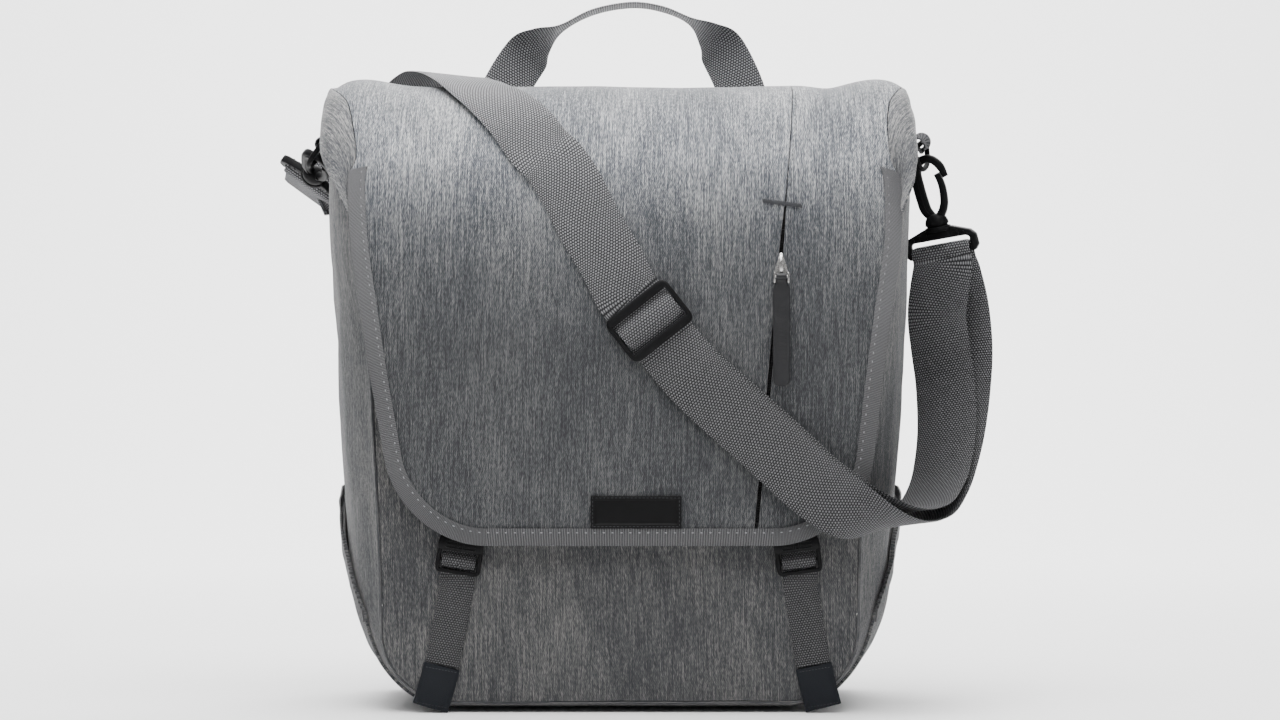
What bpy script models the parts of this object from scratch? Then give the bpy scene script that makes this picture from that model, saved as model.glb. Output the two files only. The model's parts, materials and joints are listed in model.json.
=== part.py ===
"""Bicycle pannier with a roll-over flap, a doubled shoulder strap and a top handle.

Metres, +Z up, +X to the right, +Y from the front to the back (the rack side).
The origin is the middle of the flat base, so the bag stands on Z = 0.
"""
import math

import bmesh
import bpy
from mathutils import Matrix, Vector

MM = 0.001
GAP = 0.3 * MM            # between pieces that touch
MERGE = 0.01 * MM

# Bag body
BODY_WIDTH = 352 * MM     # widest, near the top
BODY_DEPTH = 140 * MM     # front seam to back seam
BODY_HEIGHT = 356 * MM    # rim of the gusset
CREST_RISE = 19 * MM      # top of the closed flap above the rim
CLOTH = 1.8 * MM
BACK_WALL = 3.0 * MM      # the back panel is stiffened
RIM_DIP = 40 * MM         # the rim is lower at the front seam
SEAM_LIFT = 5 * MM        # the front seam stands off the ground
CORNER_ACROSS = 65 * MM   # rounding of the outside at the base
CORNER_UP = 100 * MM
SEAM_CORNER = 43 * MM     # rounding of the front seam
FRONT_BULGE = 5 * MM
POCKET_MOUTH = 4 * MM     # how far a side pocket stands open
POCKET_SLANT = 0.55       # share of the depth over which its edge climbs

# Flap
FLAP_CLOTH = 1.6 * MM
FLAP_STANDOFF = 13.5 * MM  # front of the flap, ahead of the front seam
FLAP_CORNER = 51 * MM
CHEEK_SWELL = 4.5 * MM     # how far the cheeks stand out over the gusset
SHOULDER_RISE = 4 * MM     # the crest is higher towards both ends
BINDING_WIDTH = 10 * MM
BINDING_WALL = 1.2 * MM
BINDING_LAP = 0.8 * MM     # the binding reaches past the cloth edge

# Zip
SLIT = 2.4 * MM
SEAM_SLIT = 0.5 * MM
TAPE_WIDTH = 22 * MM
TAPE_WALL = 1.0 * MM
PULL_LENGTH = 64 * MM
PULL_WIDTH = 10 * MM
PULL_WALL = 2.4 * MM
SLIDER_WIDTH = 8 * MM
SLIDER_LENGTH = 17 * MM
PIN_RADIUS = 0.85 * MM
PULL_BORE = 1.2 * MM

# Label patch
LABEL_WIDTH = 53 * MM
LABEL_HEIGHT = 19 * MM
LABEL_WALL = 1.8 * MM
LABEL_RIM = 2.6 * MM
LABEL_SINK = 0.7 * MM

# Webbing
STRAP_WIDTH = 38 * MM
HANDLE_WIDTH = 30 * MM
CLOSURE_WIDTH = 20 * MM
WEBBING = 1.5 * MM
SLEEVE_LENGTH = 28 * MM
SLEEVE_WIDTH = 21.5 * MM
SLEEVE_WALL = 1.3 * MM

# Strap slider
SLIDER_FRAME_WIDTH = 44.6 * MM
SLIDER_FRAME_LENGTH = 31 * MM
SLIDER_BAR = 6 * MM
SLIDER_MIDDLE_BAR = 5 * MM
SLIDER_BAR_WALL = 3 * MM
SLIDER_MIDDLE_WALL = 2 * MM

# D-rings, snap hooks and their webbing bases
RING_WIRE = 1.7 * MM
RING_HALF_WIDTH = 14 * MM
RING_DEPTH = 15 * MM
TAB_WIDTH = 20 * MM
TAB_BELOW_RIM = 15 * MM
TAB_TAIL = 12 * MM
HOOK_LENGTH = 61.5 * MM
HOOK_WIDTH = 22 * MM
HOOK_WALL = 6 * MM
BASE_WIDTH = 48 * MM
BASE_WALL = 4.4 * MM
BASE_BAR = 4.6 * MM
BAR_WRAP = 4.2 * MM
BAR_CLEAR = 3 * MM        # straight webbing before it turns round a bar
SEWN_END = 34 * MM        # doubled end of the strap at the left hook

# Buckles of the closure straps
BUCKLE_WIDTH = 27 * MM
BUCKLE_TOP = 105 * MM
BUCKLE_WALL = 3 * MM

# Rack hooks
RACK_TUBE = 11 * MM
RACK_HOOK_WIDTH = 24 * MM
RACK_HOOK_WALL = 4 * MM
RACK_HOOK_CLEAR = 7.625 * MM   # below the flap's back hem
RACK_HOOK_DROP = 32 * MM
RACK_PLATE_HEIGHT = 50 * MM
RACK_HOOK_SPACING = 150 * MM

CREST_HEIGHT = BODY_HEIGHT + CREST_RISE
TAB_HEIGHT = BODY_HEIGHT - TAB_BELOW_RIM
HALF_WIDTH = BODY_WIDTH / 2
HALF_DEPTH = BODY_DEPTH / 2
FLAP_BACK_Y = HALF_DEPTH + GAP + FLAP_CLOTH / 2
FLAP_FRONT_Y = -HALF_DEPTH - FLAP_STANDOFF
FLAP_FACE_Y = FLAP_FRONT_Y - FLAP_CLOTH / 2

# Half-widths of the body, as shares of half its width, by height as a share of the rim's
BODY_LINES = [
    # up, outside, front seam
    (0.00, 0.920, 0.800),
    (0.28, 0.954, 0.812),
    (0.45, 0.968, 0.830),
    (0.61, 0.982, 0.847),
    (0.74, 0.990, 0.893),
    (0.83, 1.000, 0.897),
    (1.00, 1.000, 0.900),
]
# How far the gusset has swollen from the front seam to its outside line, by depth
GUSSET_SWELL = [
    # depth, swell
    (0.00, 0.00),
    (0.06, 0.38),
    (0.15, 0.75),
    (0.30, 1.00),
    (0.55, 1.00),
    (0.80, 1.00),
    (0.92, 0.90),
    (1.00, 0.76),
]
# The flap from its back hem over the crest to its front hem
FLAP_ROWS = [
    # depth (0 back, 1 front), up, half width, middle
    (0.000, 0.815, 0.965, 0.000),
    (0.000, 0.915, 0.970, 0.000),
    (0.024, 0.962, 0.980, -0.004),
    (0.100, 0.990, 0.988, -0.008),
    (0.300, 1.000, 0.990, -0.010),
    (0.500, 0.998, 0.988, -0.010),
    (0.680, 0.984, 0.960, -0.008),
    (0.800, 0.960, 0.915, -0.004),
    (0.890, 0.923, 0.896, 0.002),
    (0.945, 0.878, 0.892, 0.012),
    (0.975, 0.838, 0.918, 0.016),
    (0.998, 0.740, 0.912, 0.022),
    (1.000, 0.640, 0.882, 0.022),
    (1.000, 0.530, 0.849, 0.024),
    (1.000, 0.398, 0.808, 0.032),
    (1.000, 0.262, 0.767, 0.034),
]
CHEEK_LAST_ROW = 9.5
BINDING_FIRST_ROW = 9.6

# Lower edge of the cheeks, from the back hem to the front
CHEEK_EDGE = [
    # flap row, depth, up, swell
    (0.0, 0.030, 0.812, 0.55),
    (1.5, 0.060, 0.880, 0.80),
    (3.0, 0.150, 0.922, 0.95),
    (4.5, 0.400, 0.927, 1.00),
    (6.0, 0.660, 0.915, 0.85),
    (7.5, 0.860, 0.880, 0.10),
    (8.6, 0.945, 0.845, -1.30),
    (9.4, 0.972, 0.828, -2.40),
]


def lerp(low, high, share):
    return low + (high - low) * share


def table_value(rows, key, column):
    """Straight-line reading of a column at a key between two rows."""
    for low, high in zip(rows, rows[1:]):
        if key <= high[0]:
            share = (key - low[0]) / (high[0] - low[0])
            return lerp(low[column], high[column], share)
    return rows[-1][column]


def smooth(rows, place):
    """Smooth reading of rows of numbers or vectors at a row number with a fraction."""
    last = len(rows) - 1
    index = min(int(place), last - 1)
    share = place - index
    before, low = rows[max(index - 1, 0)], rows[index]
    high, after = rows[index + 1], rows[min(index + 2, last)]
    values = []
    for a, b, c, d in zip(before, low, high, after):
        slope_low = (c - a) / 2
        slope_high = (d - b) / 2
        drop = b - c
        values.append(
            b + slope_low * share
            + (-3 * drop - 2 * slope_low - slope_high) * share ** 2
            + (2 * drop + slope_low + slope_high) * share ** 3
        )
    return values


def material(name, color, roughness, metallic=0.0):
    made = bpy.data.materials.new(name)
    made.use_nodes = True
    shader = made.node_tree.nodes["Principled BSDF"]
    shader.inputs["Base Color"].default_value = (*color, 1.0)
    shader.inputs["Roughness"].default_value = roughness
    shader.inputs["Metallic"].default_value = metallic
    made.diffuse_color = (*color, 1.0)
    return made


def collection(name):
    made = bpy.data.collections.new(name)
    bpy.context.scene.collection.children.link(made)
    return made


def place_object(name, data, finish, group):
    part = bpy.data.objects.new(name, data)
    if finish:
        data.materials.append(finish)
    group.objects.link(part)
    return part


def shade_round(mesh, angle=35):
    mesh.shade_smooth()
    mesh.set_sharp_from_angle(angle=math.radians(angle))


def add_sheet(name, surface, columns, rows, wall, finish, group):
    """A cloth wall round a middle surface, which is read from 0 to 1 both ways."""
    mesh = bpy.data.meshes.new(name)
    grid = bmesh.new()
    bmesh.ops.create_grid(grid, x_segments=columns, y_segments=rows, size=1.0)
    for corner in grid.verts:
        corner.co = surface((corner.co.x + 1) / 2, (corner.co.y + 1) / 2)
    grid.to_mesh(mesh)
    grid.free()
    mesh.shade_smooth()
    part = place_object(name, mesh, finish, group)
    thickness = part.modifiers.new("wall", "SOLIDIFY")
    thickness.thickness = wall
    thickness.offset = 0.0
    thickness.use_even_offset = True
    return part


def add_ribbon(name, stations, width, wall, finish, group, per_span=3, columns=2):
    """Webbing laid through stations, each a middle point and the way across it."""
    rows = [tuple(middle) + tuple(across) for middle, across in stations]
    steps = per_span * (len(rows) - 1)

    def surface(along, side):
        place = along * (len(rows) - 1)
        values = smooth(rows, place)
        ahead = smooth(rows, min(place + 0.05, len(rows) - 1))
        behind = smooth(rows, max(place - 0.05, 0))
        travel = (Vector(ahead[:3]) - Vector(behind[:3])).normalized()
        across = Vector(values[3:])
        across = (across - travel * across.dot(travel)).normalized()
        return Vector(values[:3]) + across * width * (side - 0.5)

    return add_sheet(name, surface, steps, columns, wall, finish, group)


def add_plate(name, outlines, wall, finish, group):
    """A flat plate from closed outlines, of which the inner ones are holes."""
    curve = bpy.data.curves.new(name, "CURVE")
    curve.dimensions = "2D"
    curve.fill_mode = "BOTH"
    curve.extrude = wall / 2
    for outline in outlines:
        spline = curve.splines.new("POLY")
        spline.points.add(len(outline) - 1)
        for point, (x, y) in zip(spline.points, outline):
            point.co = (x, y, 0.0, 1.0)
        spline.use_cyclic_u = True
    part = place_object(name, curve, finish, group)
    return weld_to_mesh(part, finish, group)


def weld_to_mesh(part, finish, group):
    """Turn a curve object into a mesh object whose caps are joined to its sides."""
    bpy.context.view_layer.update()
    evaluated = part.evaluated_get(bpy.context.evaluated_depsgraph_get())
    mesh = bpy.data.meshes.new_from_object(evaluated)
    solid = bmesh.new()
    solid.from_mesh(mesh)
    bmesh.ops.remove_doubles(solid, verts=solid.verts, dist=MERGE)
    bmesh.ops.recalc_face_normals(solid, faces=solid.faces)
    solid.to_mesh(mesh)
    solid.free()
    name = part.name
    curve = part.data
    bpy.data.objects.remove(part)
    bpy.data.curves.remove(curve)
    mesh.name = name
    mesh.materials.clear()
    return place_object(name, mesh, finish, group)


def add_box(name, size, middle, finish, group):
    mesh = bpy.data.meshes.new(name)
    solid = bmesh.new()
    bmesh.ops.create_cube(solid, size=1.0)
    bmesh.ops.scale(solid, vec=size, verts=solid.verts)
    bmesh.ops.translate(solid, vec=middle, verts=solid.verts)
    solid.to_mesh(mesh)
    solid.free()
    return place_object(name, mesh, finish, group)


def add_pin(name, radius, length, middle, sides, finish, group):
    """A round pin that lies along X."""
    mesh = bpy.data.meshes.new(name)
    solid = bmesh.new()
    bmesh.ops.create_cone(
        solid, cap_ends=True, segments=sides, radius1=radius, radius2=radius, depth=length,
        matrix=Matrix.Translation(middle) @ Matrix.Rotation(math.pi / 2, 4, "Y"))
    solid.to_mesh(mesh)
    solid.free()
    return place_object(name, mesh, finish, group)


def combine(part, tool, operation):
    tool.hide_render = True
    tool.display_type = "WIRE"
    step = part.modifiers.new(operation.lower() + "_" + tool.name, "BOOLEAN")
    step.operation = operation
    step.object = tool


def soften(part, width, segments=2, angle=40):
    edge = part.modifiers.new("soft_edges", "BEVEL")
    edge.width = width
    edge.segments = segments
    edge.limit_method = "ANGLE"
    edge.angle_limit = math.radians(angle)
    return part


def body_corner(line):
    """Height of the lowest point, and the rounding across and up, of a body line."""
    if line == 1:
        return 0.0, CORNER_ACROSS, CORNER_UP
    return SEAM_LIFT, SEAM_CORNER, SEAM_CORNER


# The gusset's way round: a side, a rounded corner and half of the floor, as shares
GUSSET_STEPS = 40
SIDE_SHARE = 10 / GUSSET_STEPS
CORNER_SHARE = 7 / GUSSET_STEPS


def body_outline(around, line, top, inset=0.0):
    """Point on a body line, from the left rim (0) round under the base to the right rim (1)."""
    side = 1 if around > 0.5 else -1
    along = min(around, 1 - around)
    floor, across, tall = body_corner(line)
    knee = floor + tall
    straight = table_value(BODY_LINES, knee / BODY_HEIGHT, line) * HALF_WIDTH
    if along <= SIDE_SHARE:
        height = lerp(top, knee, along / SIDE_SHARE)
        half = table_value(BODY_LINES, height / BODY_HEIGHT, line) * HALF_WIDTH
        return side * (half - inset), height
    if along <= SIDE_SHARE + CORNER_SHARE:
        angle = (along - SIDE_SHARE) / CORNER_SHARE * math.pi / 2
        half = straight - across + (across - inset) * math.cos(angle)
        return side * half, knee - (tall - inset) * math.sin(angle)
    flat = (0.5 - along) / (0.5 - SIDE_SHARE - CORNER_SHARE)
    return side * (straight - across) * flat, floor + inset


def gusset_top(depth):
    """Height of the gusset's rim, which dips at both seams to stay under the flap."""
    front_dip = max(1 - depth / 0.3, 0.0)
    back_dip = max((depth - 0.8) / 0.2, 0.0)
    return BODY_HEIGHT - RIM_DIP * front_dip ** 1.5 - RIM_DIP / 2 * back_dip


def gusset_point(around, depth, lift=0.0):
    """Middle surface of the gusset, or a point at a distance outside it."""
    point = gusset_middle(around, depth)
    if not lift:
        return point
    step = 0.5 / GUSSET_STEPS
    along = gusset_middle(min(around + step, 1.0), depth) - gusset_middle(max(around - step, 0.0), depth)
    inward = gusset_middle(around, min(depth + step, 1.0)) - gusset_middle(around, max(depth - step, 0.0))
    return point + inward.cross(along).normalized() * lift


def gusset_middle(around, depth):
    swell = table_value(GUSSET_SWELL, depth, 1)
    top = gusset_top(depth)
    seam = body_outline(around, 2, top, CLOTH / 2)
    outside = body_outline(around, 1, top, CLOTH / 2)
    y = lerp(-HALF_DEPTH + GAP, HALF_DEPTH - GAP, depth)
    return Vector((lerp(seam[0], outside[0], swell), y, lerp(seam[1], outside[1], swell)))


def rim_inside(around, depth, inset):
    """Point of the gusset's middle line at a depth, moved into the bag."""
    step = 0.5 / GUSSET_STEPS
    point = gusset_middle(around, depth)
    along = gusset_middle(around + step, depth) - gusset_middle(max(around - step, 0.0), depth)
    inward = Vector((-along.z, 0.0, along.x)).normalized()
    return point + inward * inset


def front_face(x, z):
    """Y of the front panel's outer face."""
    half = table_value(BODY_LINES, z / BODY_HEIGHT, 2) * HALF_WIDTH
    across = min(abs(x) / half, 1.0)
    up = min(abs(z / BODY_HEIGHT - 0.5) * 2, 1.0)
    return -HALF_DEPTH - FRONT_BULGE * (1 - across ** 2) * (1 - up ** 4)


def front_seat(x, z, half):
    """The front-most Y of the front panel behind something of a half-width."""
    return min(front_face(x + side * half, z) for side in (-1, 0, 1))


def build_body(cloth, back_cloth, group):
    depths = [row[0] for row in GUSSET_SWELL]

    def gusset(around, depth):
        return gusset_point(around, depths[round(depth * (len(depths) - 1))])

    add_sheet("gusset", gusset, GUSSET_STEPS, len(depths) - 1, CLOTH, cloth, group)

    panel_rows = round((SIDE_SHARE + CORNER_SHARE) * GUSSET_STEPS)
    foot = SIDE_SHARE + CORNER_SHARE
    inset = CLOTH / 2 + 2 * GAP

    def front(across, up):
        point = rim_inside(lerp(foot, 0.0, up), 0.0, inset)
        x = abs(point.x) * (2 * across - 1)
        return Vector((x, front_face(x, point.z) + CLOTH / 2, point.z))

    add_sheet("front_panel", front, 10, panel_rows, CLOTH, cloth, group)

    def back(across, up):
        point = rim_inside(lerp(foot, 0.0, up), 1.0, inset)
        x = abs(point.x) * (2 * across - 1)
        return Vector((x, HALF_DEPTH - BACK_WALL / 2, point.z))

    add_sheet("back_panel", back, 6, panel_rows, BACK_WALL, back_cloth, group)


def build_pockets(cloth, edging, group):
    """Low open pockets on both ends, with a bound slanting edge."""
    mouth = SIDE_SHARE - 1 / GUSSET_STEPS
    foot = SIDE_SHARE + 5 / GUSSET_STEPS
    slant = 2 / GUSSET_STEPS
    rows = 6
    depths = [row[0] for row in GUSSET_SWELL[1:-1]]
    seat = CLOTH + 3 * GAP
    lip = CLOTH / 2 + GAP + BINDING_WALL / 2
    for name, side in (("left", -1), ("right", 1)):
        def pocket(along, across, side=side, rise=0.0):
            depth = depths[round(across * (len(depths) - 1))]
            lowered = slant * max(1 - depth / POCKET_SLANT, 0.0)
            around = lerp(mouth + lowered, foot, along)
            open_by = POCKET_MOUTH * (1 - along) ** 2 * math.sin(math.pi * depth)
            if side > 0:
                around = 1 - around
            return gusset_point(around, depth, seat + open_by + rise)

        add_sheet("side_pocket_" + name, pocket, rows, len(depths) - 1, CLOTH, cloth, group)

        def edge(along, across, pocket=pocket):
            return pocket(lerp(-0.04, 0.08, along), across, rise=lip)

        add_sheet("pocket_binding_" + name, edge, 1, len(depths) - 1, BINDING_WALL, edging, group)


def flap_row(row):
    depth, up, half, middle = smooth(FLAP_ROWS, row)
    y = lerp(FLAP_BACK_Y, FLAP_FRONT_Y, depth)
    return y, up * CREST_HEIGHT, half * HALF_WIDTH, middle * HALF_WIDTH


def flap_normal(row):
    last = len(FLAP_ROWS) - 1
    ahead = flap_row(min(row + 0.05, last))
    behind = flap_row(max(row - 0.05, 0))
    travel = Vector((0.0, ahead[0] - behind[0], ahead[1] - behind[1])).normalized()
    return Vector((0.0, travel.z, -travel.y))


def shoulder(x, row):
    """The crest rises towards both ends and dips a little beside the zip."""
    on_top = math.exp(-((row - 4.5) / 1.9) ** 2)
    near_end = math.exp(-((abs(x) / HALF_WIDTH - 0.89) / 0.10) ** 2)
    dip = math.exp(-((x / HALF_WIDTH - 0.72) / 0.06) ** 2)
    return on_top * (SHOULDER_RISE * near_end - 2 * MM * dip)


def flap_point(x, row, lift=0.0):
    y, z, _, _ = flap_row(row)
    return Vector((x, y, z + shoulder(x, row))) + flap_normal(row) * lift


def flap_hem(row):
    """How much the rounded corner of the hem takes from the half-width."""
    z = flap_row(row)[1]
    low = FLAP_ROWS[-1][1] * CREST_HEIGHT
    below = min(max((low + FLAP_CORNER - z) / FLAP_CORNER, 0.0), 1.0)
    return FLAP_CORNER * (1 - math.sqrt(1 - below ** 2))


def zip_x(row):
    """The zip line leans towards the middle on its way down."""
    up = flap_row(row)[1] / CREST_HEIGHT
    if row < 4:
        up = 1.0
    return HALF_WIDTH * lerp(0.455, 0.591, (up - 0.29) / 0.71)


def slit_half(row):
    """Half of the opening at the zip: a seam on top, and a slit down the front."""
    opening = min(max((row - 10.2) / 0.8, 0.0), 1.0)
    return lerp(SEAM_SLIT, SLIT, opening) / 2


def row_at_height(height):
    """Row of the flap's front at a height."""
    low, high = 6.0, float(len(FLAP_ROWS) - 1)
    for _ in range(40):
        middle = (low + high) / 2
        if flap_row(middle)[1] > height:
            low = middle
        else:
            high = middle
    return (low + high) / 2


def flap_grid():
    """Rows at which the flap's cloth is laid, closer where it bends."""
    low = FLAP_ROWS[-1][1] * CREST_HEIGHT
    rows = [0, 1] + [1 + step / 2 for step in range(1, 7)] + [5, 6]
    rows += [6 + step / 2 for step in range(1, 11)] + [12, 13, row_at_height(low + FLAP_CORNER)]
    corner_steps = 5
    for step in range(1, corner_steps + 1):
        turn = step / corner_steps * math.pi / 2
        rows.append(row_at_height(low + FLAP_CORNER * (1 - math.sin(turn))))
    return rows


def build_flap(cloth, edging, group):
    last = len(FLAP_ROWS) - 1
    low = FLAP_ROWS[-1][1] * CREST_HEIGHT
    knee_row = row_at_height(low + FLAP_CORNER)
    rows = flap_grid()
    cheek_rows = [row for row in rows if row <= CHEEK_LAST_ROW]

    def main_panel(across, share):
        row = rows[round(share * (len(rows) - 1))]
        _, _, half, middle = flap_row(row)
        left = middle - half + flap_hem(row)
        return flap_point(lerp(left, zip_x(row) - slit_half(row), across), row)

    def zip_panel(across, share):
        row = rows[round(share * (len(rows) - 1))]
        _, _, half, middle = flap_row(row)
        right = middle + half - flap_hem(row)
        return flap_point(lerp(zip_x(row) + slit_half(row), right, across), row)

    add_sheet("flap_main_panel", main_panel, 13, len(rows) - 1, FLAP_CLOTH, cloth, group)
    add_sheet("flap_zip_panel", zip_panel, 5, len(rows) - 1, FLAP_CLOTH, cloth, group)

    lift = FLAP_CLOTH / 2 + GAP + BINDING_WALL / 2

    def hem_line(around, inset):
        """Point of the flap's edge, from the left cheek round the hem to the right cheek."""
        side = 1 if around > 0.5 else -1
        along = min(around, 1 - around)
        _, _, knee_half, knee_middle = flap_row(knee_row)
        if along <= 0.3:
            row = lerp(BINDING_FIRST_ROW, knee_row, along / 0.3)
            _, z, half, middle = flap_row(row)
            return middle + side * (half - inset), z
        if along <= 0.42:
            angle = (along - 0.3) / 0.12 * math.pi / 2
            lower_row = row_at_height(low + FLAP_CORNER * (1 - math.sin(angle)))
            half, middle = flap_row(lower_row)[2:]
            reach = FLAP_CORNER - inset
            x = middle + side * (half - FLAP_CORNER + reach * math.cos(angle))
            return x, low + FLAP_CORNER - reach * math.sin(angle)
        flat = (0.5 - along) / 0.08
        half, middle = flap_row(last)[2:]
        return middle + side * (half - FLAP_CORNER) * flat, low + inset

    def binding(around, inner):
        inset = lerp(-BINDING_LAP, BINDING_WIDTH - BINDING_LAP, inner)
        x, z = hem_line(around, inset)
        if z <= low:
            point = flap_point(x, last, lift)
            point.z = z
            return point
        return flap_point(x, row_at_height(z), lift)

    add_sheet("flap_binding", binding, 60, 1, BINDING_WALL, edging, group)

    for name, side in (("left", -1), ("right", 1)):
        def cheek(down, share, side=side):
            row = cheek_rows[round(share * (len(cheek_rows) - 1))]
            _, _, half, middle = flap_row(row)
            seam = flap_point(middle + side * (half + 2 * GAP), row)
            depth, up, swell = [table_value(CHEEK_EDGE, row, column) for column in (1, 2, 3)]
            edge_x = middle + side * (HALF_WIDTH + CHEEK_SWELL * swell)
            edge = Vector((edge_x, lerp(FLAP_BACK_Y, FLAP_FRONT_Y, depth), up * CREST_HEIGHT))
            turn = down * math.pi / 2
            return Vector((
                lerp(seam.x, edge.x, math.sin(turn)),
                lerp(edge.y, seam.y, math.cos(turn)),
                lerp(edge.z, seam.z, math.cos(turn)),
            ))

        add_sheet("flap_cheek_" + name, cheek, 5, len(cheek_rows) - 1, FLAP_CLOTH, cloth, group)


def build_zip(tape_finish, metal, rubber, cutters, group):
    first = row_at_height(0.815 * CREST_HEIGHT)
    final = row_at_height(0.30 * CREST_HEIGHT)
    rows = [first] + [row for row in flap_grid() if first < row < final] + [final]
    behind = -(FLAP_CLOTH / 2 + 2 * GAP + TAPE_WALL / 2)

    def tape(across, share):
        row = rows[round(share * (len(rows) - 1))]
        return flap_point(zip_x(row) + TAPE_WIDTH * (across - 0.5), row, behind)

    add_sheet("zip_tape", tape, 2, len(rows) - 1, TAPE_WALL, tape_finish, group)

    top = 0.722 * CREST_HEIGHT
    row = row_at_height(top - SLIDER_LENGTH)
    x = zip_x(row) + 1.5 * MM
    face = flap_row(row)[0] - FLAP_CLOTH / 2 - GAP
    plate = 1.6 * MM
    eye_radius = PULL_BORE + 0.9 * MM
    pin_y = face - plate - eye_radius - GAP
    pin_z = top - SLIDER_LENGTH + 3 * MM
    body = [
        (-0.18, 0.0), (0.18, 0.0), (0.5, -0.55), (0.5, -1.0), (-0.5, -1.0), (-0.5, -0.55),
    ]
    outline = [(px * SLIDER_WIDTH, pz * SLIDER_LENGTH) for px, pz in body]
    slider = add_plate("zip_slider", [outline], plate, metal, group)
    slider.matrix_world = (
        Matrix.Translation((x, face - plate / 2, top)) @ Matrix.Rotation(math.pi / 2, 4, "X"))
    ear_wall = 1.2 * MM
    ear_gap = 4.4 * MM
    ear_reach = face - pin_y + 1.6 * MM
    for ear_name, side in (("left", -1), ("right", 1)):
        ear = add_box(
            "zip_slider_ear_" + ear_name, (ear_wall, ear_reach, 3.6 * MM),
            (x + side * (ear_gap + ear_wall) / 2, face - 0.2 * MM - ear_reach / 2, pin_z),
            None, cutters)
        combine(slider, ear, "UNION")
    pin = add_pin("zip_slider_pin", PIN_RADIUS, ear_gap + ear_wall, (x, pin_y, pin_z), 12, None, cutters)
    combine(slider, pin, "UNION")

    eye_width = ear_gap - 2 * GAP
    pull = add_pin("zip_pull", eye_radius, eye_width, (0.0, 0.0, 0.0), 14, rubber, group)
    pull.location = (x, pin_y, pin_z)
    neck_length = 9 * MM
    neck = add_box(
        "zip_pull_neck", (eye_width, PULL_WALL, neck_length), (x, pin_y, pin_z - neck_length / 2),
        None, cutters)
    half = PULL_WIDTH / 2
    end = 3.5 * MM
    top_z = pin_z - neck_length + 2 * MM
    low_z = pin_z - PULL_LENGTH
    outline = []
    for turn in range(13):
        angle = math.pi * turn / 12
        outline.append((half * math.cos(angle), top_z - end + end * math.sin(angle)))
    for turn in range(13):
        angle = math.pi + math.pi * turn / 12
        outline.append((half * math.cos(angle), low_z + end + end * math.sin(angle)))
    paddle = add_plate("zip_pull_paddle", [outline], PULL_WALL * 0.92, None, cutters)
    paddle.matrix_world = (
        Matrix.Translation((x, pin_y, 0.0)) @ Matrix.Rotation(math.pi / 2, 4, "X"))
    bore = add_pin("zip_pull_bore", PULL_BORE, ear_gap, (x, pin_y, pin_z), 14, None, cutters)
    combine(pull, neck, "UNION")
    combine(pull, paddle, "UNION")
    combine(pull, bore, "DIFFERENCE")


def build_label(rubber, group):
    """A plate with a raised border, bare inside it."""
    low = FLAP_ROWS[-1][1] * CREST_HEIGHT + BINDING_WIDTH + 1.2 * MM
    middle = (0.055 * HALF_WIDTH, FLAP_FACE_Y - GAP - LABEL_WALL / 2, low + LABEL_HEIGHT / 2)
    label = add_box("label_patch", (LABEL_WIDTH, LABEL_WALL, LABEL_HEIGHT), middle, rubber, group)
    solid = bmesh.new()
    solid.from_mesh(label.data)
    front = [face for face in solid.faces if face.normal.y < -0.9]
    bmesh.ops.inset_region(solid, faces=front, thickness=LABEL_RIM)
    bmesh.ops.inset_region(solid, faces=front, thickness=LABEL_SINK, depth=-LABEL_SINK)
    solid.to_mesh(label.data)
    solid.free()


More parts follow.
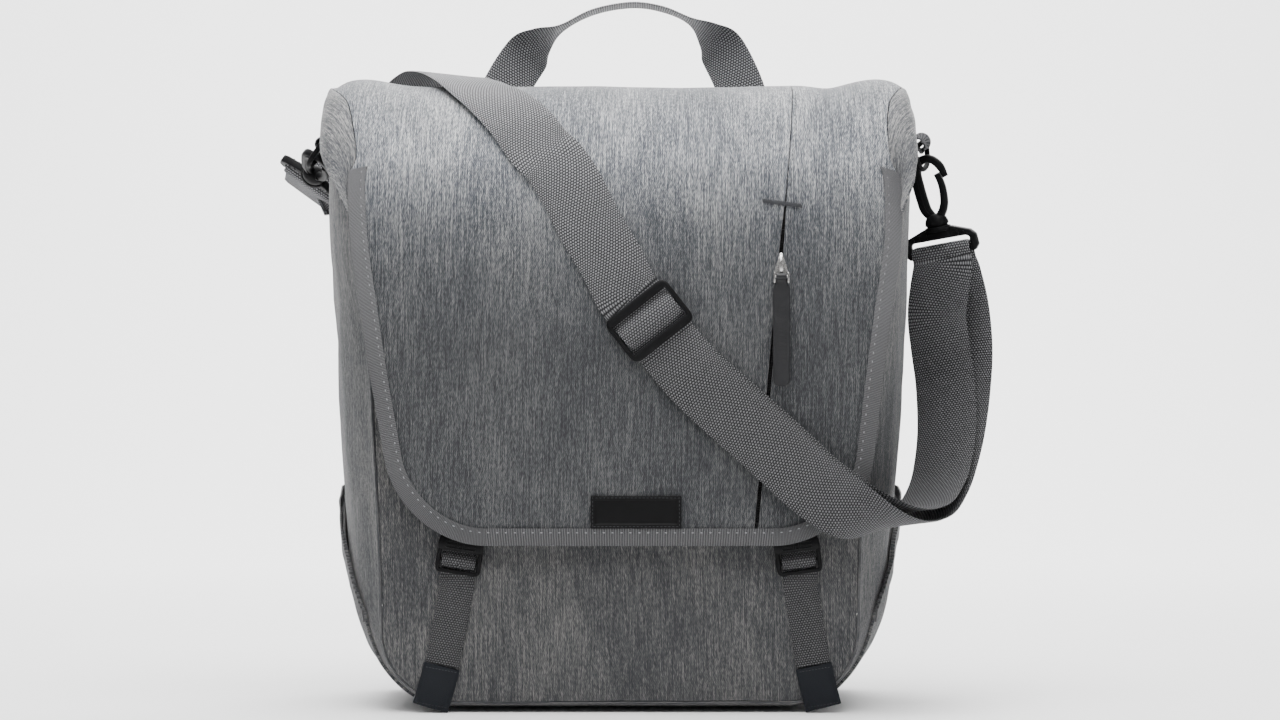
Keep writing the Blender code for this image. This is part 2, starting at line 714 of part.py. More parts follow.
def build_closures(webbing, plastic, sleeve_finish, cutters, group):
    """Straps that hang from buckles under the flap's hem, each with a folded end sleeve."""
    slot = 4.4 * MM
    bar = 1.8 * MM
    foot_bar = 2.4 * MM
    top_bar = 10 * MM
    middle_wall = 1.4 * MM
    height = top_bar + 2 * slot + bar + foot_bar
    half_slot = CLOSURE_WIDTH / 2 + 0.8 * MM
    sleeve_top = SLEEVE_LENGTH
    for name, across, lean in (("left", -0.536, -0.10), ("right", 0.598, 0.095)):
        x = across * HALF_WIDTH
        seat = front_seat(x, BUCKLE_TOP, CLOSURE_WIDTH / 2)
        under = seat - GAP - WEBBING / 2
        bar_back = under - WEBBING / 2 - GAP
        frame = [(-0.5, -1.0), (0.5, -1.0), (0.5, -0.08), (0.44, 0.0), (-0.44, 0.0), (-0.5, -0.08)]
        outer = [(px * BUCKLE_WIDTH, pz * height) for px, pz in frame]
        slots = []
        for slot_top in (-top_bar, -top_bar - slot - bar):
            slots.append([
                (-half_slot, slot_top - slot), (half_slot, slot_top - slot),
                (half_slot, slot_top), (-half_slot, slot_top),
            ])
        buckle = add_plate("buckle_" + name, [outer] + slots, BUCKLE_WALL, plastic, group)
        buckle.matrix_world = (
            Matrix.Translation((x, bar_back - BUCKLE_WALL / 2, BUCKLE_TOP))
            @ Matrix.Rotation(math.pi / 2, 4, "X"))
        over = bar_back - middle_wall - GAP - WEBBING / 2
        first = BUCKLE_TOP - top_bar
        relief = add_box(
            "buckle_relief_" + name, (2 * half_slot, BUCKLE_WALL, bar + slot),
            (x, bar_back - middle_wall - BUCKLE_WALL / 2, first - slot - bar / 2), None, cutters)
        combine(buckle, relief, "DIFFERENCE")
        last = first - 2 * slot - bar
        drop = [
            # height, y
            (BUCKLE_TOP + 1 * MM, under),
            (first + 1.5 * MM, under),
            (first - 0.15 * slot, lerp(under, over, 0.10)),
            (first - 0.60 * slot, lerp(under, over, 0.62)),
            (first - slot, lerp(under, over, 0.96)),
            (first - slot - bar / 2, over),
            (first - slot - bar, lerp(under, over, 0.96)),
            (last + 0.40 * slot, lerp(under, over, 0.62)),
            (last + 0.15 * slot, lerp(under, over, 0.10)),
            (last - foot_bar, under),
        ]
        stations = [(Vector((x, y, z)), Vector((1, 0, 0))) for z, y in drop]
        across_way = Vector((1.0, 0.0, lean)).normalized()
        start = drop[-1][0]
        hem = sleeve_top + GAP
        for share in (0.15, 0.4, 0.7, 1.0):
            z = lerp(start, hem, share)
            sx = x + lean * (start - z)
            y = front_seat(sx, z, CLOSURE_WIDTH / 2) - GAP - WEBBING / 2
            stations.append((Vector((sx, y, z)), across_way))
        add_ribbon("closure_strap_" + name, stations, CLOSURE_WIDTH, WEBBING, webbing, group,
                   per_span=2, columns=1)
        fold = []
        for share in (0.0, 0.3, 0.65, 1.0):
            z = lerp(sleeve_top - GAP, 3.0 * MM, share)
            sx = x + lean * (start - z) * lerp(1.0, 1.15, share)
            y = front_seat(sx, z, SLEEVE_WIDTH / 2) - GAP - SLEEVE_WALL
            fold.append((Vector((sx, y, z)), across_way))
        add_ribbon("strap_end_" + name, fold, SLEEVE_WIDTH, 2 * SLEEVE_WALL, sleeve_finish, group,
                   per_span=2, columns=1)


def build_handle(webbing, group):
    """Webbing sewn to the back of the flap, creased at both knuckles, flat along the arch."""
    seat = FLAP_CLOTH / 2 + GAP + WEBBING / 2
    back = FLAP_BACK_Y + seat
    rows = [
        # x, y, height, across x, across y, across z
        (-90, 0.0, 316, 1.0, 0.0, -0.12),
        (-87, 0.0, 336, 0.99, 0.0, -0.16),
        (-83, 0.2, 356, 0.96, 0.0, -0.28),
        (-74, 0.8, 380, 0.86, 0.0, -0.51),
        (-61, 1.5, 401, 0.74, 0.25, -0.60),
        (-51, 1.5, 411.5, 0.35, 0.85, -0.40),
        (-38, 1.0, 419.5, 0.05, 1.0, -0.02),
        (-18, 0.0, 429.5, 0.0, 1.0, 0.0),
        (6, 0.0, 434, 0.0, 1.0, 0.0),
        (26, 0.0, 431.5, 0.0, 1.0, 0.0),
        (44, 1.0, 424, -0.05, 1.0, -0.02),
        (56, 1.5, 415, -0.35, 0.85, -0.40),
        (65, 1.5, 404, -0.78, 0.25, -0.55),
        (76, 0.8, 381, -0.88, 0.0, -0.47),
        (83, 0.2, 356, -0.96, 0.0, -0.28),
        (87, 0.0, 336, -0.99, 0.0, -0.16),
        (90, 0.0, 316, -1.0, 0.0, -0.12),
    ]
    stations = []
    for x, y, z, ax, ay, az in rows:
        middle = Vector((x * MM * BODY_WIDTH / 0.352, back + y * MM, z * MM * CREST_HEIGHT / 0.375))
        stations.append((middle, Vector((ax, ay, az))))
    add_ribbon("handle", stations, HANDLE_WIDTH, WEBBING, webbing, group, per_span=2, columns=1)


def frame_of(side):
    """Directions of a snap hook: across its webbing bar, along it to the nose, and its face."""
    if side > 0:
        along = Vector((-0.215, -0.105, 0.970)).normalized()
        across = Vector((0.88, -0.44, 0.18))
    else:
        along = Vector((0.16, -0.965, 0.20)).normalized()
        across = Vector((0.80, 0.02, -0.58))
    across = (across - along * across.dot(along)).normalized()
    return across, along, across.cross(along)


TAB_DEPTH = {-1: 0.264 * HALF_DEPTH, 1: 0.071 * HALF_DEPTH}
TAB_OUT = 7.8 * MM
TAB_LOOP = 4.2 * MM
TAB_BORE = 2.5 * MM
TAB_WALL = 2.4 * MM


def ring_bar(side):
    """Middle of a D-ring's straight bar, at the foot of its webbing loop."""
    sag = TAB_BORE - RING_WIRE - GAP
    return Vector((side * (HALF_WIDTH + TAB_OUT), TAB_DEPTH[side], TAB_HEIGHT - sag))


def ring_point(side, turn):
    """Point of a D-ring's round, from its front end (0) to its back end (pi)."""
    swing = RING_SWING[side]
    hang = Vector((side * math.sin(swing), 0.0, -math.cos(swing)))
    across = math.copysign(abs(math.cos(turn)) ** RING_SQUARE, math.cos(turn))
    down = abs(math.sin(turn)) ** RING_SQUARE
    return ring_bar(side) - Vector((0, RING_HALF_WIDTH * across, 0)) + hang * RING_DEPTH * down


EYE_ACROSS = -0.023 * HOOK_WIDTH
EYE_ALONG = 0.8504 * HOOK_LENGTH
HOOKED_AT = {-1: math.radians(144), 1: math.radians(90)}
RING_SWING = {-1: math.radians(37), 1: math.radians(12)}
RING_SQUARE = 0.8         # below 1 makes the ring's round squarer


def base_middle(side):
    """Middle of the webbing bar of a snap hook that hangs on its D-ring."""
    across, along, _ = frame_of(side)
    return ring_point(side, HOOKED_AT[side]) - across * EYE_ACROSS - along * EYE_ALONG


def build_hooks(webbing, plastic, metal, group):
    outline_hook = [
        # across and along the hook, in millimetres of its drawn size
        (-7.0, 17.0), (7.0, 17.0), (7.6, 24.0), (8.6, 30.0), (9.4, 37.0), (9.0, 41.5), (7.4, 45.6),
        (5.0, 46.8), (5.9, 41.0), (5.6, 35.0), (4.2, 28.5), (1.6, 25.6), (-1.4, 26.4), (-2.9, 32.0),
        (-4.2, 42.0), (-4.5, 50.0), (-3.4, 54.4), (0.5, 56.2), (4.0, 54.8), (7.2, 51.2), (9.6, 45.2),
        (12.3, 44.8), (12.2, 49.0), (10.0, 54.6), (6.2, 59.4), (1.4, 61.5), (-4.4, 60.2), (-8.4, 55.0),
        (-9.6, 47.0), (-8.6, 34.0), (-7.4, 24.0),
    ]
    drawn_length = 61.5
    drawn_width = 22.0
    hook_points = [
        (x * HOOK_WIDTH / drawn_width, y * HOOK_LENGTH / drawn_length) for x, y in outline_hook]
    half = BASE_WIDTH / 2
    bar = BASE_BAR / 2
    shoulder_up = 0.195 * HOOK_LENGTH
    base_top = hook_points[0][1] - GAP
    outer = [
        (-half + 2 * MM, -bar), (half - 2 * MM, -bar), (half, 0.0), (half, 6 * MM),
        (half * 0.82, shoulder_up), (half * 0.45, base_top), (-half * 0.45, base_top),
        (-half * 0.82, shoulder_up), (-half, 6 * MM), (-half, 0.0),
    ]
    slot_half = STRAP_WIDTH / 2 + 0.8 * MM
    slot = [(-slot_half, bar), (slot_half, bar), (slot_half, 8 * MM), (-slot_half, 8 * MM)]
    for name, side in (("left", -1), ("right", 1)):
        across, along, facing = frame_of(side)
        origin = base_middle(side)
        pose = Matrix.Translation(origin) @ Matrix((across, along, facing)).transposed().to_4x4()
        hook = add_plate("snap_hook_" + name, [hook_points], HOOK_WALL, plastic, group)
        hook.matrix_world = pose
        soften(hook, 0.9 * MM, 1)
        base = add_plate("swivel_base_" + name, [outer, slot], BASE_WALL, plastic, group)
        base.matrix_world = pose

        curve = bpy.data.curves.new("d_ring_" + name, "CURVE")
        curve.dimensions = "3D"
        curve.bevel_depth = RING_WIRE
        curve.bevel_resolution = 2
        curve.use_fill_caps = True
        steps = 18
        points = [ring_point(side, math.pi * turn / steps) for turn in range(steps + 1)]
        spline = curve.splines.new("POLY")
        spline.points.add(len(points) - 1)
        for point, place in zip(spline.points, points):
            point.co = (*place, 1.0)
        spline.use_cyclic_u = True
        ring = weld_to_mesh(place_object("d_ring_" + name, curve, metal, group), metal, group)
        shade_round(ring.data)

        tail = TAB_HEIGHT - TAB_TAIL
        inner = HALF_WIDTH + GAP
        centre = HALF_WIDTH + TAB_OUT
        profile = [(inner, tail), (inner + TAB_WALL, tail), (inner + TAB_WALL, TAB_HEIGHT - 5.5 * MM)]
        for degrees in range(-70, 181, 25):
            angle = math.radians(degrees)
            profile.append((centre + TAB_LOOP * math.cos(angle), TAB_HEIGHT + TAB_LOOP * math.sin(angle)))
        profile.append((inner, TAB_HEIGHT - 2 * MM))
        bore = []
        for turn in range(12):
            angle = math.tau * turn / 12
            bore.append((centre + TAB_BORE * math.cos(angle), TAB_HEIGHT + TAB_BORE * math.sin(angle)))
        if side < 0:
            profile = [(-x, z) for x, z in profile]
            bore = [(-x, z) for x, z in bore]
        tab = add_plate("d_ring_tab_" + name, [profile, bore], TAB_WIDTH, webbing, group)
        tab.matrix_world = (
            Matrix.Translation((0.0, TAB_DEPTH[side], 0.0)) @ Matrix.Rotation(math.pi / 2, 4, "X"))


SLIDER_MIDDLE = Vector((0.099 * HALF_WIDTH, 0.0, 0.6155 * CREST_HEIGHT))
SLIDER_ACROSS = Vector((0.785, 0.0, 0.619)).normalized()
SLIDER_ALONG = Vector((0.619, 0.0, -0.785)).normalized()


def layer(number):
    """Y of the middle of a webbing layer on the flap's face, or behind the slider's bars."""
    return FLAP_FACE_Y - GAP - WEBBING / 2 - number * (WEBBING + GAP)


def slider_place(along, y):
    point = SLIDER_MIDDLE + SLIDER_ALONG * along
    return Vector((point.x, y, point.z))


def bag_place(across, depth, up):
    """A place by shares: half width, back face (0) to flap face (1), and crest height."""
    y = lerp(HALF_DEPTH, FLAP_FACE_Y, depth)
    return Vector((across * HALF_WIDTH, y, up * CREST_HEIGHT))


# The doubled stretch, from the slider down the front, round the turn and up to the right hook
DOUBLE_ROUTE = [
    # across, depth, up, way across x, y, z, apart from the return layer, return aside (millimetres)
    (0.256, 1.024, 0.525, 0.760, 0.00, 0.650, 1.9, 0.8),
    (0.365, 1.029, 0.477, 0.750, 0.00, 0.660, 2.0, 1.2),
    (0.477, 1.038, 0.430, 0.740, 0.00, 0.670, 2.3, 1.2),
    (0.570, 1.053, 0.390, 0.740, -0.04, 0.660, 3.0, 1.0),
    (0.660, 1.076, 0.353, 0.760, -0.12, 0.600, 4.0, 0.6),
    (0.760, 1.094, 0.322, 0.780, -0.26, 0.480, 5.4, 0.2),
    (0.860, 1.066, 0.303, 0.800, -0.46, 0.300, 7.2, 0.0),
    (0.950, 0.998, 0.298, 0.820, -0.58, 0.150, 7.6, 0.0),
    (1.025, 0.890, 0.308, 0.840, -0.56, 0.100, 7.0, 0.0),
    (1.078, 0.770, 0.334, 0.860, -0.52, 0.120, 6.6, 0.0),
    (1.118, 0.660, 0.370, 0.880, -0.48, 0.120, 6.0, -1.0),
    (1.160, 0.530, 0.430, 0.900, -0.42, 0.120, 8.0, -3.0),
    (1.192, 0.400, 0.500, 0.920, -0.40, 0.140, 13.0, -6.0),
    (1.206, 0.330, 0.570, 0.920, -0.40, 0.160, 18.0, -9.0),
    (1.196, 0.300, 0.640, 0.910, -0.42, 0.180, 18.0, -7.0),
    (1.165, 0.330, 0.698, 0.890, -0.44, 0.180, 11.0, -2.0),
]
RISE_FROM = 0.40          # above this share of the crest the strap climbs to the hook's bar
HOOK_BAR_UP = 0.7336
DRAWN_STRAP = 38 * MM     # the strap's width for which its distances are drawn
# Single stretch over the flap: flap row, across, turn of the way across (degrees), lift (millimetres)
OVER_FLAP = [
    (4.7, -0.575, 46, 5.0),
    (5.5, -0.530, 38, 3.2),
    (6.3, -0.475, 27, 1.8),
    (7.2, -0.400, 17, 1.0),
    (8.0, -0.330, 11, 0.8),
    (8.8, -0.270, 11, 0.7),
    (9.5, -0.216, 15, 0.6),
    (10.2, -0.160, 20, 0.5),
    (10.75, -0.100, 28, 0.5),
    (11.3, -0.030, 34, 0.5),
]
# Single stretch behind the bag, from the left hook to the crest
BEHIND_BAG = [
    # across, depth, up, way across x, y, z
    (-1.105, -0.225, 0.855, 0.76, 0.20, -0.62),
    (-1.025, -0.255, 0.882, 0.72, 0.15, -0.66),
    (-0.925, -0.235, 0.920, 0.70, 0.10, -0.70),
    (-0.830, -0.180, 0.965, 0.68, 0.25, -0.66),
    (-0.755, -0.080, 1.005, 0.65, 0.55, -0.50),
    (-0.695, 0.055, 1.028, 0.62, 0.74, -0.22),
    (-0.640, 0.210, 1.030, 0.62, 0.78, -0.04),
]


def wrap_stations(side, start_degrees, end_degrees, tail_start, tail_end):
    """Webbing round the bar of a swivel base; 180 degrees is behind it and 0 is before it."""
    across, along, facing = frame_of(side)
    middle = base_middle(side)
    stations = []
    if tail_start:
        out = BAR_WRAP * math.cos(math.radians(start_degrees))
        stations.append((middle + facing * out - along * tail_start, across))
    steps = 6
    for step in range(steps + 1):
        angle = math.radians(lerp(start_degrees, end_degrees, step / steps))
        ring = facing * BAR_WRAP * math.cos(angle) + along * BAR_WRAP * math.sin(angle)
        stations.append((middle + ring, across))
    if tail_end:
        out = BAR_WRAP * math.cos(math.radians(end_degrees))
        stations.append((middle + facing * out - along * tail_end, across))
    return stations


def double_station(row):
    across, depth, up, wx, wy, wz, apart, aside = row
    place = bag_place(across, depth, up)
    if up > RISE_FROM:
        share = (up - RISE_FROM) / (HOOK_BAR_UP - RISE_FROM)
        place.z = lerp(RISE_FROM * CREST_HEIGHT, base_middle(1).z, share)
    scale = STRAP_WIDTH / DRAWN_STRAP
    return place, Vector((wx, wy, wz)), apart * MM * scale, aside * MM * scale


def return_stations():
    """The return layer lies inside the main one, at the distances that the route names."""
    stations = []
    last = len(DOUBLE_ROUTE) - 1
    for index, row in enumerate(DOUBLE_ROUTE):
        middle, way, apart, aside = double_station(row)
        ahead = double_station(DOUBLE_ROUTE[min(index + 1, last)])[0]
        behind = double_station(DOUBLE_ROUTE[max(index - 1, 0)])[0]
        travel = (ahead - behind).normalized()
        way = (way - travel * way.dot(travel)).normalized()
        outward = travel.cross(way)
        stations.append((middle - outward * apart + way * aside, way))
    return stations


def build_shoulder_strap(webbing, group):
    across, along, facing = frame_of(-1)
    middle = base_middle(-1)
    sewn = (WEBBING + GAP + 0.2 * MM) / 2
    spread = 0.8 * MM
    stations = []
    for back, wider in ((SEWN_END, 0.0), (SEWN_END * 0.6, 0.0), (SEWN_END * 0.3, spread)):
        stations.append((middle + facing * (sewn + wider) - along * back, across))
    stations += wrap_stations(-1, 0, 180, BAR_CLEAR, BAR_CLEAR)
    for back, wider in ((SEWN_END * 0.3, spread), (SEWN_END * 0.6, 0.0)):
        stations.append((middle - facing * (sewn + wider) - along * back, across))
    for row in BEHIND_BAG:
        stations.append((bag_place(*row[:3]), Vector(row[3:])))
    for row, share, turn, lift in OVER_FLAP:
        stand = FLAP_CLOTH / 2 + GAP + WEBBING / 2 + lift * MM
        normal = flap_normal(row)
        travel = Vector((0.0, -normal.z, normal.y))
        angle = math.radians(turn)
        way = Vector((1, 0, 0)) * math.cos(angle) - travel * math.sin(angle)
        stations.append((flap_point(share * HALF_WIDTH, row, stand), way))
    crossing = [
        # along the slider, layer behind the bars or over them
        (-22, 1.0), (-15.5, 1.0), (-10.2, 1.08), (-6.4, 2.25), (-2.9, 3.3), (0, 3.42),
        (2.9, 3.3), (6.4, 2.25), (10.2, 1.1), (15.5, 1.0), (22, 1.0),
    ]
    scale = SLIDER_FRAME_LENGTH / 31
    for along_slider, number in crossing:
        stations.append((slider_place(along_slider * scale, layer(number)), SLIDER_ACROSS))
    for row in DOUBLE_ROUTE:
        point, way, _, _ = double_station(row)
        stations.append((point, way))
    stations += wrap_stations(1, 180, 0, 2.3 * BAR_CLEAR, BAR_CLEAR)
    add_ribbon("shoulder_strap", stations, STRAP_WIDTH, WEBBING, webbing, group, per_span=2, columns=1)

    across, along, facing = frame_of(1)
    middle = base_middle(1)
    stations = [
        (middle + facing * BAR_WRAP - along * (BAR_CLEAR + 2 * GAP), across),
        (middle + facing * BAR_WRAP * 1.15 - along * 3 * BAR_CLEAR, across),
    ]
    stations += reversed(return_stations())
    ending = [
        # along the slider, layer
        (22, 0.0), (15.5, 0.0), (10.4, 0.0), (6.6, 1.0), (3.4, 2.2), (0, 2.32),
        (-2.4, 2.3), (-3.9, 1.8), (-4.3, 1.1), (-3.6, 0.25), (-2.2, 0.0), (0.5, 0.0),
    ]
    for along_slider, number in ending:
        stations.append((slider_place(along_slider * scale, layer(number)), SLIDER_ACROSS))
    add_ribbon("shoulder_strap_return", stations, STRAP_WIDTH, WEBBING, webbing, group,
               per_span=2, columns=1)


def build_strap_slider(plastic, cutters, group):
    """A frame with a middle bar, which the doubled webbing is threaded through."""
    half_w = SLIDER_FRAME_WIDTH / 2
    half_l = SLIDER_FRAME_LENGTH / 2
    corner = 3 * MM
    outer = [
        (-half_w + corner, -half_l), (half_w - corner, -half_l), (half_w, -half_l + corner),
        (half_w, half_l - corner), (half_w - corner, half_l), (-half_w + corner, half_l),
        (-half_w, half_l - corner), (-half_w, -half_l + corner),
    ]
    inner_w = STRAP_WIDTH / 2 + 0.5 * MM
    inner_l = half_l - SLIDER_BAR
    window = [(-inner_w, -inner_l), (inner_w, -inner_l), (inner_w, inner_l), (-inner_w, inner_l)]
    bar_back = layer(1) - WEBBING / 2 - 2 * GAP
    middle_back = layer(0) - WEBBING / 2 - GAP
    turn = Matrix((SLIDER_ACROSS, -SLIDER_ALONG, Vector((0, -1, 0)))).transposed().to_4x4()
    frame = add_plate("strap_slider", [outer, window], SLIDER_BAR_WALL, plastic, group)
    frame.matrix_world = (
        Matrix.Translation((SLIDER_MIDDLE.x, bar_back - SLIDER_BAR_WALL / 2, SLIDER_MIDDLE.z)) @ turn)
    deep = middle_back - bar_back + SLIDER_BAR_WALL * 0.5
    cheek = (half_w - inner_w) * 0.8
    for name, side in (("near", -1), ("far", 1)):
        post = add_box(
            "slider_post_" + name, (cheek, SLIDER_MIDDLE_BAR, deep),
            (side * (inner_w + cheek / 2 + 0.1 * MM), 0.0, 0.0), None, cutters)
        post.matrix_world = (
            Matrix.Translation((SLIDER_MIDDLE.x, middle_back - deep / 2, SLIDER_MIDDLE.z)) @ turn)
        combine(frame, post, "UNION")
    bar = add_box(
        "slider_middle_bar", (2 * inner_w + cheek, SLIDER_MIDDLE_BAR, SLIDER_MIDDLE_WALL),
        (0.0, 0.0, 0.0), None, cutters)
    bar.matrix_world = (
        Matrix.Translation((SLIDER_MIDDLE.x, middle_back - SLIDER_MIDDLE_WALL / 2, SLIDER_MIDDLE.z)) @ turn)
    combine(frame, bar, "UNION")


def build_rack_hooks(plastic, group):
    """Plain hooks for a rack tube on the back panel."""
    back = HALF_DEPTH + GAP
    front = back + RACK_HOOK_WALL
    lip = front + RACK_TUBE
    out = lip + RACK_HOOK_WALL
    top = FLAP_ROWS[0][1] * CREST_HEIGHT - RACK_HOOK_CLEAR
    crown = top - 6 * MM
    chamfer = 3 * MM
    profile = [
        (back, top - RACK_PLATE_HEIGHT), (front, top - RACK_PLATE_HEIGHT), (front, crown),
        (lip, crown), (lip, top - RACK_HOOK_DROP), (out, top - RACK_HOOK_DROP + chamfer),
        (out, top - chamfer), (out - chamfer, top), (back, top),
    ]
    for name, side in (("left", -1), ("right", 1)):
        hook = add_plate("rack_hook_" + name, [profile], RACK_HOOK_WIDTH, plastic, group)
        turn = Matrix(((0, 0, 1), (1, 0, 0), (0, 1, 0))).to_4x4()
        hook.matrix_world = Matrix.Translation((side * RACK_HOOK_SPACING / 2, 0.0, 0.0)) @ turn


def main():
    for old in list(bpy.data.objects):
        bpy.data.objects.remove(old)
    group = collection("bicycle_pannier")
    cutters = collection("cutters")

    melange = material("melange_cloth", (0.19, 0.20, 0.215), 0.85)
    back_cloth = material("back_cloth", (0.10, 0.10, 0.11), 0.8)
    webbing = material("grey_webbing", (0.15, 0.15, 0.16), 0.75)
    edging = material("ribbed_binding", (0.16, 0.16, 0.18), 0.7)
    sleeve = material("navy_sleeve", (0.018, 0.024, 0.032), 0.7)
    plastic = material("black_plastic", (0.012, 0.012, 0.013), 0.4)
    rubber = material("black_rubber", (0.015, 0.015, 0.016), 0.6)
    tape = material("zip_tape", (0.02, 0.02, 0.022), 0.8)
    metal = material("zip_metal", (0.45, 0.45, 0.45), 0.3, 1.0)
    ring_metal = material("black_metal", (0.02, 0.02, 0.022), 0.35, 0.6)

    build_body(melange, back_cloth, group)
    build_pockets(melange, edging, group)
    build_flap(melange, edging, group)
    build_zip(tape, metal, rubber, cutters, group)
    build_label(rubber, group)
    build_closures(webbing, plastic, sleeve, cutters, group)
    build_handle(webbing, group)
    build_hooks(webbing, plastic, ring_metal, group)
    build_shoulder_strap(webbing, group)
    build_strap_slider(plastic, cutters, group)
    build_rack_hooks(plastic, group)


main()
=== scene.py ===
import json
import math

import bpy
import numpy as np
from mathutils import Matrix, Vector, noise


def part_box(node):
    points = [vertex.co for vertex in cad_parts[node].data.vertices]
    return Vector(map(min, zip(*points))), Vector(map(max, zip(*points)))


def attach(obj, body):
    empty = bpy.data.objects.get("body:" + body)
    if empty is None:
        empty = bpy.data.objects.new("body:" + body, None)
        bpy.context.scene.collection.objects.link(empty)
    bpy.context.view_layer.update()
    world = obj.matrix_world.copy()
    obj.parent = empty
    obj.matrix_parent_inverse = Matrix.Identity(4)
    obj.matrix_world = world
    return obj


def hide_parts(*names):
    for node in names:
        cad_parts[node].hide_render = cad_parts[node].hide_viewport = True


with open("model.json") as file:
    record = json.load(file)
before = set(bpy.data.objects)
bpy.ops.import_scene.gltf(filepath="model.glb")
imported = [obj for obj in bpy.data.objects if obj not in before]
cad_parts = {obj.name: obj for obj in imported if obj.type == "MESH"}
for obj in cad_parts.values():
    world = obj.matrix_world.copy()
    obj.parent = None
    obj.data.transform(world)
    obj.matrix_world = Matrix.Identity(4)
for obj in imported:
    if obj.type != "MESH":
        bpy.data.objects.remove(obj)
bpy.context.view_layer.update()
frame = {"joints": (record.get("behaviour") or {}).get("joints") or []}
mm = 0.001
gap = 0.3 * mm

# Driving sizes, read from the frame
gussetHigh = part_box("gusset")[1]
halfWidth = gussetHigh.x
halfDepth = 70 * mm
rimHeight = gussetHigh.z
crestHeight = rimHeight + 19 * mm
print("frame: half width", round(halfWidth, 4), "crest", round(crestHeight, 4))


# Sums and tables

def lerp(low, high, share):
    return low + (high - low) * share


def clamp(value, low=0.0, high=1.0):
    return min(max(value, low), high)


def ease(value):
    value = clamp(value)
    return value * value * (3 - 2 * value)


def smooth(rows, place):
    # a soft curve through rows of numbers, read at a row number with a fraction
    last = len(rows) - 1
    index = min(int(place), last - 1)
    share = place - index
    around = [rows[max(index - 1, 0)], rows[index], rows[index + 1], rows[min(index + 2, last)]]
    values = []
    for a, b, c, d in zip(*around):
        slopeLow, slopeHigh, drop = (c - a) / 2, (d - b) / 2, b - c
        values.append(b + slopeLow * share + (-3 * drop - 2 * slopeLow - slopeHigh) * share ** 2
                      + (2 * drop + slopeLow + slopeHigh) * share ** 3)
    return values


def softTable(rows, key, column):
    # one column of a table, read at a key between its rows, without corners at them
    keys = [row[0] for row in rows]
    key = clamp(key, keys[0], keys[-1])
    for index in range(len(rows) - 1):
        if key <= keys[index + 1]:
            share = (key - keys[index]) / (keys[index + 1] - keys[index])
            return smooth([(row[column],) for row in rows], index + share)[0]
    return rows[-1][column]


def bump(value, middle, reach):
    return math.exp(-((value - middle) / reach) ** 2)


def ripple(place, size, height, seed=0.0):
    return noise.noise(Vector(place) / size + Vector((seed, seed * 0.7, -seed))) * height


# Modelling helpers: each starts from a primitive and shapes it in edit mode

def deselect():
    if bpy.context.mode != "OBJECT":
        bpy.ops.object.mode_set(mode="OBJECT")
    bpy.ops.object.select_all(action="DESELECT")


def pick(piece):
    deselect()
    piece.select_set(True)
    bpy.context.view_layer.objects.active = piece


def named(name):
    piece = bpy.context.object
    piece.name = name
    piece.data.name = name
    return piece


def settle(piece, finish, replaced=(), body="bag", angle=40):
    # the piece's place goes into its mesh, then it rides on its body
    pick(piece)
    bpy.ops.object.transform_apply(location=True, rotation=True, scale=True)
    bpy.ops.object.shade_smooth_by_angle(angle=math.radians(angle))
    piece.data.materials.clear()
    piece.data.materials.append(finish)
    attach(piece, body)
    if replaced:
        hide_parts(*replaced)
    return piece


def applyModifier(piece, kind, **settings):
    pick(piece)
    bpy.ops.object.modifier_add(type=kind)
    modifier = piece.modifiers[-1]
    for key, value in settings.items():
        setattr(modifier, key, value)
    bpy.ops.object.modifier_apply(modifier=modifier.name)
    return piece


def writeWeave(piece, across, along):
    # a UV map in metres, so that a weave keeps its size and direction on the cloth
    layer = piece.data.uv_layers[0]
    layer.name = "weave"
    corners = np.zeros(len(piece.data.loops), np.int32)
    piece.data.loops.foreach_get("vertex_index", corners)
    flat = np.stack([np.array(across)[corners], np.array(along)[corners]], 1)
    layer.data.foreach_set("uv", flat.astype(np.float32).ravel())


def cloth(name, columns, rows, surface, wall, weave=None):
    # a grid laid on surface(across, along), both from 0 to 1, with a wall round it
    deselect()
    bpy.ops.mesh.primitive_grid_add(x_subdivisions=columns, y_subdivisions=rows, size=2)
    piece = named(name)
    shares = [((v.co.x + 1) / 2, (v.co.y + 1) / 2) for v in piece.data.vertices]
    places = {}
    for vertex, (a, b) in zip(piece.data.vertices, shares):
        vertex.co = surface(a, b)
        places[(round(a * columns), round(b * rows))] = vertex.co.copy()
    wide = sum((places[(i + 1, rows // 2)] - places[(i, rows // 2)]).length for i in range(columns))
    tall = sum((places[(columns // 2, j + 1)] - places[(columns // 2, j)]).length for j in range(rows))
    print(name, "lies flat at about", round(wide / mm), "x", round(tall / mm), "mm")
    if weave:
        marks = [weave(a, b) for a, b in shares]
    else:
        along = [0.0]
        middle = columns // 2
        for row in range(rows):
            along.append(along[-1] + (places[(middle, row + 1)] - places[(middle, row)]).length)
        acrossAt = {}
        for row in range(rows + 1):
            for way in (1, -1):
                total, column = 0.0, middle
                acrossAt[(middle, row)] = 0.0
                while 0 <= column + way <= columns:
                    total += (places[(column + way, row)] - places[(column, row)]).length
                    column += way
                    acrossAt[(column, row)] = way * total
        marks = [(acrossAt[(round(a * columns), round(b * rows))], along[round(b * rows)]) for a, b in shares]
    writeWeave(piece, [m[0] for m in marks], [m[1] for m in marks])
    if wall:
        applyModifier(piece, "SOLIDIFY", thickness=wall, offset=0.0, use_even_offset=True)
    return piece


